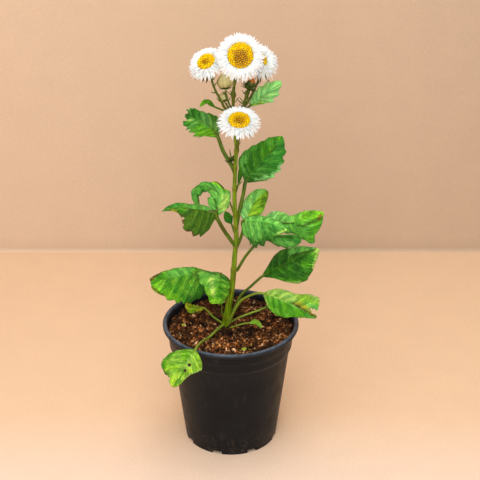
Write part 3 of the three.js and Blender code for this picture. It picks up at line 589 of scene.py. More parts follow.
bits_earth, tree = finish("crumbs and chips", roughness=0.8, specular=0.12)
scale = add(tree, "ShaderNodeValToRGB", {0: painted(tree, "tint")})
stops = [(0.0, (0.008, 0.0035, 0.002)), (0.33, (0.06, 0.017, 0.004)), (0.66, (0.21, 0.066, 0.014)),
         (0.9, (0.38, 0.165, 0.05)), (0.985, (0.52, 0.32, 0.17))]
ramp = scale.socket.node.color_ramp.elements
while len(ramp) < len(stops):
    ramp.new(0.5)
for stop, (place, colour) in zip(ramp, stops):
    stop.position, stop.color = place, (*colour, 1)
mottle = between(speckle(tree, 1400, 4), 0.3, 0.7, 0.6, 1.35)
# Random damp patches, multiplied by the painted light and shade round the stem and by the rim.
damp_and_shade = between(speckle(tree, 105, 4, warp=0.6), 0.42, 0.57, 0.17, 1.45) * watered(tree)
dress(tree, base_color=times(scale, mottle * damp_and_shade))
relief(tree, speckle(tree, 2600, 3), 0.0003)

moss_green, tree = finish("moss", roughness=0.7)
dress(tree, base_color=mixed(painted(tree, "tint"), (0.16, 0.26, 0.01), (0.55, 0.6, 0.03)))

scatter = scatter_tree()
ground = new_mesh("ground", points, top_faces)
clods = variants("clods", [clod(k, 1.0, (1, 0.8 + 0.05 * k, 0.65)) for k in range(6)])
chips = variants("chips", [clod(20 + k, 1.0, (1.9, 0.6 + 0.1 * k, 0.28)) for k in range(4)])
fibres = variants("fibres", [thread(k, 8 + 2 * k, 0.14, 5) for k in range(4)])
tufts = variants("tufts", [clod(40 + k, 0.42, (1, 0.7, 1.3)) for k in range(3)])
loose = [
    grown(scatter, ground, pieces=clods, density=CLODS_PER_SQUARE_METRE, smallest=0.35,
          largest=2.1, rarity=3.6, seed=3, finish=bits_earth),
    grown(scatter, ground, pieces=chips, density=CHIPS_PER_SQUARE_METRE, smallest=0.4,
          largest=1.9, rarity=2.6, tumble=0.9, seed=4, finish=bits_earth),
    grown(scatter, ground, pieces=fibres, density=FIBRES_PER_SQUARE_METRE, smallest=0.5,
          largest=1.1, tumble=0.25, seed=5, finish=bits_earth),
]
cushions = []
for x, y, radius in MOSS_SPOTS:
    dome, dome_faces = turned([(radius, 0), (radius * 0.6, 0.5), (0, 0.8)], 9)
    dome += (x, y, soil_height(x, y) - 0.1)
    cushions.append(new_mesh("cushion", dome, dome_faces))
moss = grown(scatter, joined("cushions", cushions), pieces=tufts, density=TUFTS_PER_SQUARE_METRE,
             smallest=0.5, largest=1.1, seed=6, finish=moss_green)
drop(clods, chips, fibres, tufts)

soil_bed = placed("soil_bed", new_mesh("soil_bed", points, faces, bed_earth))
soil_crumbs = placed("soil_crumbs", joined("soil_crumbs", loose))
soil_moss = placed("soil_moss", moss)
for thing in (soil_bed, soil_crumbs, soil_moss):
    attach(thing, "root")
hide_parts("soil")

# Stem. One ribbed green stem, woody at its foot, that forks under the flowers into thin stalks.
# Each head and bud sits in a green cup of narrow bracts with dark tips, and short narrow bracts
# stand along the stalks. All of it is living tissue, grown in one, with fine pale hairs.
MAIN_STEM = [                     # x, y, z and radius along the middle line
    (-5, 4, 99, 3.6), (-5, 4, 116, 3.7), (-3, 3, 130, 3.3), (-1, 2, 145, 3.0), (2, 1, 166, 2.6),
    (4, 0, 194, 2.3), (5.5, 0, 211, 2.1), (5, 0, 227, 2.0), (4, 0, 249, 1.9), (4, 0, 266, 1.8),
    (5, 0, 293, 1.8), (6, 1, 302, 1.9), (5, 2, 312, 1.8), (5, 3, 324, 1.7), (5, 4, 336, 1.6),
]
STEM_KNOTS = (126, 157, 178, 204, 224, 236, 262, 283, 300)   # heights where a leaf leaves it
SHOOTS = [
    [(6, 1, 300, 1.5), (7, -4, 311, 1.3), (8, -12, 322, 1.2), (8.2, -18.5, 329, 1.3),
     (8.2, -21.5, 333, 1.4)],
    [(4, 4, 333, 1.3), (-4, 4, 339, 1.0), (-8, 3, 347, 0.9), (-13, 3, 357, 0.9), (-17, 4, 369, 1.0),
     (-18.4, 6.8, 377.5, 1.2)],
    [(5, 4, 334, 1.4), (3, 3, 343, 1.1), (3, 2, 349, 1.3), (3, 2, 354, 2.0), (3.3, 1.6, 358, 1.2),
     (5, 0, 368, 1.0), (8, -3, 381, 1.1), (9, -6, 389, 1.3)],
    [(6, 4, 333, 1.3), (14, 8, 341, 1.0), (20, 13, 350, 0.9), (25, 18, 360, 0.9),
     (25.5, 19, 370, 1.1), (25, 17, 376.5, 1.2)],
    [(6, 4, 333, 1.3), (12, 5, 342, 1.0), (14, 4, 349, 1.2), (15.5, 3, 354, 1.5), (16.5, 2.5, 358, 1.4)],
    [(3, 5, 334, 1.1), (0, 9, 340, 0.8), (-3.5, 14, 347, 0.8), (-4, 16, 352, 1.0)],
    [(3, 6, 333, 1.0), (-1, 12, 336, 0.8), (-4, 16, 340, 0.9)],
    [(-5, 5, 117, 1.1), (-8, 8, 128, 0.8), (-9, 10, 137, 0.4)],
    [(4, 0, 236, 1.2), (1, 1, 244, 0.9), (-1, 2, 250, 0.4)],
    [(4, 1, 262, 1.0), (8, 2, 266, 0.7), (11, 3, 269, 0.4)],
]
BRACTS = [                        # root and tip
    ((1, 1, 292), (-0.5, 0, 302)), ((2, 1, 288), (-5, 0, 291)), ((-8, 3, 346), (-12, 1, 351)),
    ((-12, 3, 355), (-17, 2, 356)), ((-16, 4, 366), (-12, 3, 371)), ((3, 2, 352), (-3, 2, 357)),
    ((5, 0, 368), (10, -1, 370)), ((3, 3, 345), (8, 2, 351)), ((12, 5, 343), (6, 4, 349)),
    ((13, 4, 347), (17, 2, 351)), ((21, 14, 351), (18, 11, 357)), ((5, 4, 336), (1, 0, 344)),
    ((13, 4, 345), (8.5, 2, 351)), ((14, 4, 349), (19, 1, 353)), ((15, 3, 352), (10.5, 1, 358)),
    ((14.5, 3.5, 350), (18, 2, 344)), ((12, 5, 342), (11.5, 0, 348)), ((15, 3, 354), (14, -2, 359)),
]
LONG_BRACTS = [                   # hang out below the petals of the two outer heads
    ((-20, 5, 375.5), (-31, -2.5, 368.3)), ((-19, 5, 375), (-24.5, -3.5, 367)),
    ((-18, 5, 375), (-20.8, -3.5, 366)), ((26.5, 15, 374.5), (27, 6.5, 363)),
    ((27.5, 14, 374.5), (35.2, 5.6, 363)), ((25, 15, 374), (22.2, 6.6, 365.8)),
]
HEADS = {                         # disc's foot, the way it faces, radius, disc's share, seed, sag, ripeness
    "centre": ((9.3, -11, 394.2), (0, -0.9, 0.44), 21.2, 0.53, 11, 1.7, 0.0),
    "left": ((-20.2, 4, 382.2), (-0.34, -0.5, 0.8), 17.5, 0.46, 23, 0.9, 0.2),
    "right": ((27.5, 13, 380.5), (0.42, -0.6, 0.68), 17.6, 0.28, 37, 0.5, 0.3),
    "lower": ((8.2, -24, 337.5), (0.03, -0.4, 0.91), 19.4, 0.49, 51, 0.6, 0.12),
}
BUDS = {                          # foot, the way it faces, radius, length, cup's width and depth as shares
    "closed": ((-4, 17, 355), (-0.1, 0.2, 1), 6.3, 12, 0.62, 0.2),
    "young": ((-5, 17, 342.5), (-0.3, 0.2, 1), 3.4, 7, 0.6, 0.25),
    "orange": ((17.5, 2, 361), (0.5, -0.1, 1), 2.6, 8, 1.1, 0.42),
}
TUFT = ((0.6, 0.6, 291.5), (-0.45, -0.1, 1), 1.4, 2.5, 9)    # a leafy tuft where a leaf leaves the stem
BRACT_PITCH = 5.5                 # from one small bract to the next along a flower stalk
BRACT_REACH = (3.0, 3.4)          # how far out and up a small bract stands
FLOWER_STALKS = 7                 # the first of the shoots; the rest are bare twigs
BRACT_TURN = 2.4                  # radians from one small bract to the next, round the stalk
BRACT_SAG = 0.8
BRACT_TIP = 0.15                  # radius of a bract's tip
CUP_BACK, CUP_WIDE, CUP_DEEP = 0.11, 0.46, 0.3               # shares of the head's radius
BUD_CUP_SEED = 7
LINE_STEP = 1.5                   # from one point of a stalk's middle line to the next
KNOT_REACH = 2.2                  # how far a knot reaches up and down
KNOT_SWELL = 0.2                  # how much thicker the stalk is there, as a share
STEM_HAIRS = 500000               # hairs on a square metre


def curve_at(points, share):
    """Places on the smooth curve through the points, at shares of it from 0 to 1."""
    points = np.asarray(points, float)
    ends = np.vstack([2 * points[0] - points[1], points, 2 * points[-1] - points[-2]])
    place = np.clip(share, 0, 1) * (len(points) - 1)
    index = np.minimum(place.astype(int), len(points) - 2)
    t = (place - index)[..., None]
    a, b, c, d = (ends[index + k] for k in range(4))
    return 0.5 * (2 * b + (c - a) * t + (2 * a - 5 * b + 4 * c - d) * t**2 + (3 * b - a - 3 * c + d) * t**3)


def length_of(strand):
    """The length of a line through points."""
    return sum(math.dist(a[:3], b[:3]) for a, b in zip(strand, strand[1:]))


def stalk_lines(strands, knots=()):
    """The middle lines of stalks as one mesh of edges, with their thickness on the points."""
    points, edges, thick, knot = [], [], [], []
    for strand in strands:
        count = max(6, int(length_of(strand) / LINE_STEP))
        line = curve_at(strand, np.linspace(0, 1, count))
        near = np.zeros(count)
        for height in knots:
            near = np.maximum(near, np.exp(-((line[:, 2] - height) / KNOT_REACH) ** 2))
        edges += [(len(points) + k, len(points) + k + 1) for k in range(count - 1)]
        points += line[:, :3].tolist()
        thick += (line[:, 3] * MM * (1 + KNOT_SWELL * near)).tolist()
        knot += near.tolist()
    mesh = bpy.data.meshes.new("lines")
    mesh.from_pydata((np.array(points) * MM).tolist(), edges, [])
    for label, numbers in (("thick", thick), ("knot", knot)):
        mesh.attributes.new(label, "FLOAT", "POINT").data.foreach_set("value", numbers)
    return mesh


def stalk_tree():
    """Grows ribbed, closed stalks along lines, as thick as the lines say."""
    tree, given = tree_with(
        "ribbed stalk", Step=0.001, Sides=16, Ribs=8.0, Rib_depth=0.06, Finish="Material")
    line = add(tree, "GeometryNodeMeshToCurve", {0: given["Geometry"]})
    line = add(tree, "GeometryNodeCurveSplineType", {0: line}, spline_type="CATMULL_ROM")
    line = add(tree, "GeometryNodeResampleCurve", {"Curve": line, "Length": given["Step"]}, mode="LENGTH")
    share = add(tree, "GeometryNodeSplineParameter", out="Factor")
    line = noted(line, "POINT", run=share.beside("Length"), reach=share)
    ring = add(tree, "GeometryNodeCurvePrimitiveCircle", {0: given["Sides"]})
    wave = calc("COSINE", share * math.tau * given["Ribs"])
    ribbed = vector("SCALE", add(tree, "GeometryNodeInputPosition"), Scale=wave * given["Rib depth"] + 1.0)
    ring = add(tree, "GeometryNodeSetPosition", {"Geometry": ring, "Position": ribbed})
    inputs = {"Curve": line, "Profile Curve": noted(ring, "POINT", turn=share), "Fill Caps": True,
              "Scale": add(tree, "GeometryNodeInputNamedAttribute", {0: "thick"}, data_type="FLOAT")}
    skin = add(tree, "GeometryNodeCurveToMesh", inputs)
    return closed(tree, add(tree, "GeometryNodeSetShadeSmooth", {0: skin}), given)


def ring_tree():
    """Sets the pieces of a collection in rows round +Z, each row from its first to its last size."""
    pairs = {f"{label} {end}": 1.0 for label in ("Foot", "Height", "Rise", "Length", "Width")
             for end in ("first", "last")}
    tree, given = tree_with(
        "rows round an axis", Pieces="Collection", Count=12, Rows=3, **pairs, Uneven_turn=0.3,
        Uneven_rise=0.08, Uneven_roll=0.2, Uneven_length=0.05, Seed=1, Finish="Material")
    number = add(tree, "GeometryNodeInputIndex")
    row = calc("FLOOR", (number + 0.5) / given["Count"])
    share = row / calc("MAXIMUM", given["Rows"] - 1.0, 1.0)

    def luck(order, label):
        return dice(number, -1.0, 1.0, given["Seed"] + float(order)) * given["Uneven " + label]

    def size(label):
        return (given[label + " last"] - given[label + " first"]) * share + given[label + " first"]

    place = number - row * given["Count"]
    turn = (place + (row * 0.382 + luck(1, "turn"))) / given["Count"] * math.tau
    rise, foot = size("Rise") + luck(2, "rise"), size("Foot")
    length = size("Length") * (luck(3, "length") + 1.0)
    at = xyz(foot * calc("COSINE", turn), foot * calc("SINE", turn), size("Height"))
    spots = add(tree, "GeometryNodePoints", {"Count": given["Count"] * given["Rows"], "Position": at})
    leans = xyz(luck(4, "roll"), rise * -1.0, turn)
    pieces = laid(spots, given, leans, xyz(length, size("Width"), length))
    return closed(tree, noted(pieces, tint=dice(number, 0.0, 1.0, 14)), given)


def strap(widths, arch=0.0, lift=0.0, cup=0.0, sway=0.0, thick=0.012):
    """A closed strap along +X, one long and one wide, bent over its length and its width."""
    points, reach, faces = [], [], []
    rows = len(widths)
    for side in (1, -1):
        for row, width in enumerate(widths):
            t = row / (rows - 1)
            for across in (-0.5, 0, 0.5):
                height = arch * math.sin(math.pi * t) + lift * t * t + cup * 4 * across * across * width
                points.append((t, across * width + sway * t * t, height + side * thick / 2 * (1.1 - t)))
                reach.append(t)
    lower = rows * 3
    for row in range(rows - 1):
        for column in (0, 1):
            a, b = row * 3 + column, row * 3 + column + 3
            faces += [(a, b, b + 1, a + 1), (lower + a, lower + a + 1, lower + b + 1, lower + b)]
        a, b = row * 3, row * 3 + 3
        faces += [(lower + a, lower + b, b, a), (a + 2, b + 2, lower + b + 2, lower + a + 2)]
    end = rows * 3 - 3
    for column in (0, 1):
        faces += [(column, column + 1, lower + column + 1, lower + column),
                  (lower + end + column, lower + end + column + 1, end + column + 1, end + column)]
    return new_mesh("strap", np.array(points) / MM, faces, reach=reach)


def stand(at, faces):
    """Turns a form with +Z up to its place and the way it faces."""
    up = Vector(faces).normalized()
    side = (Vector((1, 0, 0)) - up * up.x).normalized()
    ahead = up.cross(side)
    matrix = Matrix((side, ahead, up)).transposed().to_4x4()
    matrix.translation = Vector(at) * MM
    return matrix


def streaked_green(name, low, high, brown, roughness):
    """Living stalk: green in streaks along it, browner at its knots."""
    material, tree = finish(name, specular=0.28, subsurface_weight=0.08, subsurface_scale=0.0006)
    place = xyz(painted(tree, "turn") * 14.0, painted(tree, "run") * 60.0)
    streaks = speckle(tree, 1.0, 3, place=place)
    green = mixed(between(streaks, 0.35, 0.65), low, high)
    flush = between(speckle(tree, 70, 3), 0.52, 0.74, 0, 0.6)
    flush = calc("MAXIMUM", flush, painted(tree, "knot") * 0.55)
    dress(tree, base_color=mixed(flush, green, brown),
          roughness=between(streaks, 0.3, 0.7, roughness - 0.08, roughness + 0.1))
    relief(tree, streaks, 0.0003)
    return material


def bract_line(root, tip, thick):
    """A short bract that sags a little between its root and its tip."""
    middle = [(a + b) / 2 for a, b in zip(root, tip)]
    middle[2] -= BRACT_SAG
    return [(*root, thick), (*middle, thick * 1.1), (*tip, BRACT_TIP)]


stalk = stalk_tree()
rows_round = ring_tree()
stem_green = streaked_green(
    "stem green", (0.07, 0.125, 0.001), (0.2, 0.31, 0.002), (0.11, 0.07, 0.002), 0.42)
shoot_green = streaked_green(
    "shoot green", (0.035, 0.075, 0.001), (0.15, 0.22, 0.003), (0.07, 0.04, 0.002), 0.45)
cup_green, tree = finish("bract green", roughness=0.55, specular=0.3)
fresh = mixed(between(speckle(tree, 300), 0.35, 0.65), (0.05, 0.09, 0.008), (0.12, 0.19, 0.02))
dress(tree, base_color=mixed(between(painted(tree, "reach"), 0.62, 0.85), fresh, (0.035, 0.014, 0.008)))
hair_white, tree = finish("fine hairs", roughness=0.5, base_color=(0.3, 0.42, 0.045, 1))

bract_lines = [bract_line(root, tip, 0.6) for root, tip in BRACTS]
bract_lines += [bract_line(root, tip, 0.8) for root, tip in LONG_BRACTS]
main_line = stalk_lines([MAIN_STEM], STEM_KNOTS)
stem_parts = [grown(stalk, main_line, sides=48, ribs=9.0, rib_depth=0.05, finish=stem_green)]
for order, strand in enumerate(SHOOTS):
    count = int(length_of(strand) / BRACT_PITCH) if order < FLOWER_STALKS else 0
    roots = curve_at(strand, np.arange(1, count) / count) if count > 1 else []
    for number, root in enumerate(roots):
        turn = BRACT_TURN * (number + 3 * order)
        out, up = BRACT_REACH
        tip = (root[0] + out * math.cos(turn), root[1] + out * math.sin(turn), root[2] + up)
        bract_lines.append(bract_line(root[:3], tip, 0.55))
    lines = stalk_lines([strand], [root[2] for root in roots])
    stem_parts.append(grown(stalk, lines, sides=20, ribs=5.0, rib_depth=0.07, finish=shoot_green))
bract_form = {"step": 0.0008, "sides": 8, "ribs": 2.0, "rib_depth": 0.3}
stem_parts.append(grown(stalk, stalk_lines(bract_lines), **bract_form, finish=cup_green))

narrow = [0.7, 0.95, 1.0, 0.9, 0.65, 0.1]
scale_leaves = variants("scale_leaves", [strap(narrow, 0.03, bend, 0.04, 0.1 * k, 0.05)
                                         for k, bend in enumerate((-0.1, 0.05, 0.16))])
sockets = [(Vector(at) - Vector(faces).normalized() * radius * CUP_BACK, faces, radius * CUP_WIDE,
            radius * CUP_DEEP, seed) for at, faces, radius, _, seed, _, _ in HEADS.values()]
sockets += [(at, faces, radius * wide, length * deep, BUD_CUP_SEED)
            for at, faces, radius, length, wide, deep in BUDS.values()]
for at, faces, radius, depth, seed in [*sockets, TUFT]:
    profile = [(0, -depth), (radius * 0.2, -depth), (radius * 0.34, -depth * 0.9),
               (radius * 0.6, -depth * 0.66), (radius * 0.82, -depth * 0.36),
               (radius * 0.94, -depth * 0.05), (0, -0.1)]
    bowl = new_mesh("bowl", *turned(profile, 32), cup_green)
    scales = grown(
        rows_round, bowl, pieces=scale_leaves, count=16, rows=3,
        foot_first=radius * 0.4 * MM, foot_last=radius * 0.85 * MM,
        height_first=-depth * 0.92 * MM, height_last=-depth * 0.3 * MM, rise_first=0.3, rise_last=0.95,
        length_first=depth * 2.2 * MM, length_last=depth * 0.95 * MM, width_first=0.0013, width_last=0.0015,
        uneven_rise=0.22, uneven_length=0.15, seed=seed, finish=cup_green)
    whole = joined("cup", [bowl, scales])
    whole.transform(stand(at, faces))
    stem_parts.append(whole)
drop(scale_leaves)
stem_mesh = joined("plant_stem", stem_parts)

hair = variants("hair", [thread(5 + k, 0.9, 0.03, 0.3, steps=3, taper=0.9) for k in range(2)])
for thing in hair.objects:
    thing.data.transform(Matrix.Rotation(-math.pi / 2, 4, "Y"))
hairs = grown(scatter, stem_mesh.copy(), pieces=hair, density=STEM_HAIRS, smallest=0.35, largest=0.9,
              tumble=0.45, seed=8, finish=hair_white)
plant_stem = placed("plant_stem", stem_mesh)
stem_hairs = placed("stem_hairs", hairs)
for thing in (plant_stem, stem_hairs):
    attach(thing, "root")
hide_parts("stem")

# Leaves. Each leaf is one thin living blade on its own stalk: coarsely toothed, quilted between
# its veins, paler below, and dry and brown at some of its tips. The stalk runs on under the
# blade as its middle rib, and it leaves the stem without a seam. Much of the blades' light and
# shade is painted into their colours: the quilting's, dark marks along folds and overlaps, and
# pale sheen and highlights on up-facing parts.
TOOTH_PEAK = 0.72                 # where a tooth is widest, from its foot at 0 to the next at 1
TOOTH_ROWS = (0, 0.08, 0.18, 0.3, 0.42, 0.54, 0.64, 0.72, 0.79, 0.86, 0.93)
BLADE_COLUMNS = 41
SMALL_BLADE_COLUMNS = 21         # for blades whose halves are narrower than 9 mm
BLADE_THICK = 0.5
TOOTH_GAIN = 1.9                  # the living teeth are cut deeper than the CAD's
QUILT = 0.19                      # height of the quilting, as a share of the veins' spacing
VEIN_REACH = 1.5                  # how many teeth a side vein runs forward on its way to the edge
SHADE_HUE = (1.9, 1.0, 1.3)       # what is shaded loses more of its red and blue than of its green
# MINT, FROST and ICE are the pale bluish greens of a leaf's sheen; marks in them paint that sheen.
FRESH, BRIGHT, DEEP, COOL = (68, 146, 6), (112, 186, 20), (26, 92, 0), (44, 132, 30)
MINT, OLIVE, LIME, SPRING = (108, 188, 76), (76, 114, 0), (124, 190, 0), (146, 196, 44)
FROST, ICE, EMERALD, MOSSY = (142, 216, 122), (166, 244, 140), (36, 110, 10), (60, 106, 0)
BROWN, YELLOW, PALE, DUSK = (92, 46, 8), (164, 166, 30), (170, 210, 96), (44, 72, 0)
NARROWEST = 0.05                  # half-width at a tip
LEAF_HAIRS = 400000               # hairs on a square metre
RIB_PLACES = (0.15, 0.35, 0.6, 0.85)       # where the middle rib has points, from foot to tip
LOW_STALKS = ("leaf_withered", "leaf_front", "leaf_basal_small", "leaf_basal_back", "leaf_low_right_light")


class Blade:
    """A blade: its rib, the way its foot and its tip face, its number of teeth and their depth, its
    half-widths from foot to tip, and what differs from these."""
    fold = curl = (0, 0)              # degrees that the left and the right half rise at the rib, and bend
    ripple = 0
    lean = 0.22                       # how far the halves sweep forward
    toothed = (1, 1)                  # how far the left and the right teeth are cut
    tones = right_tones = None        # colours at the foot and the tip
    light = FRESH                     # the dapple's colour
    veined, streaked = 0.75, 1
    # Dark DEEP and DUSK marks along folds and where blades overlap are painted shade. Pale bluish MINT,
    # FROST, ICE and PALE marks on raised, up-facing parts and edges are painted highlights and sheen, except
    # the thin pale midrib lines, which are veins. BROWN, YELLOW and OLIVE marks are the leaf's own colour.
    marks = bites = ()                # marks: path, size, colour; bites: place along and across, size

    def __init__(self, **own):
        vars(self).update(own)
        self.widest = max(*self.left, *self.right)
        self.right_tones = self.right_tones or self.tones


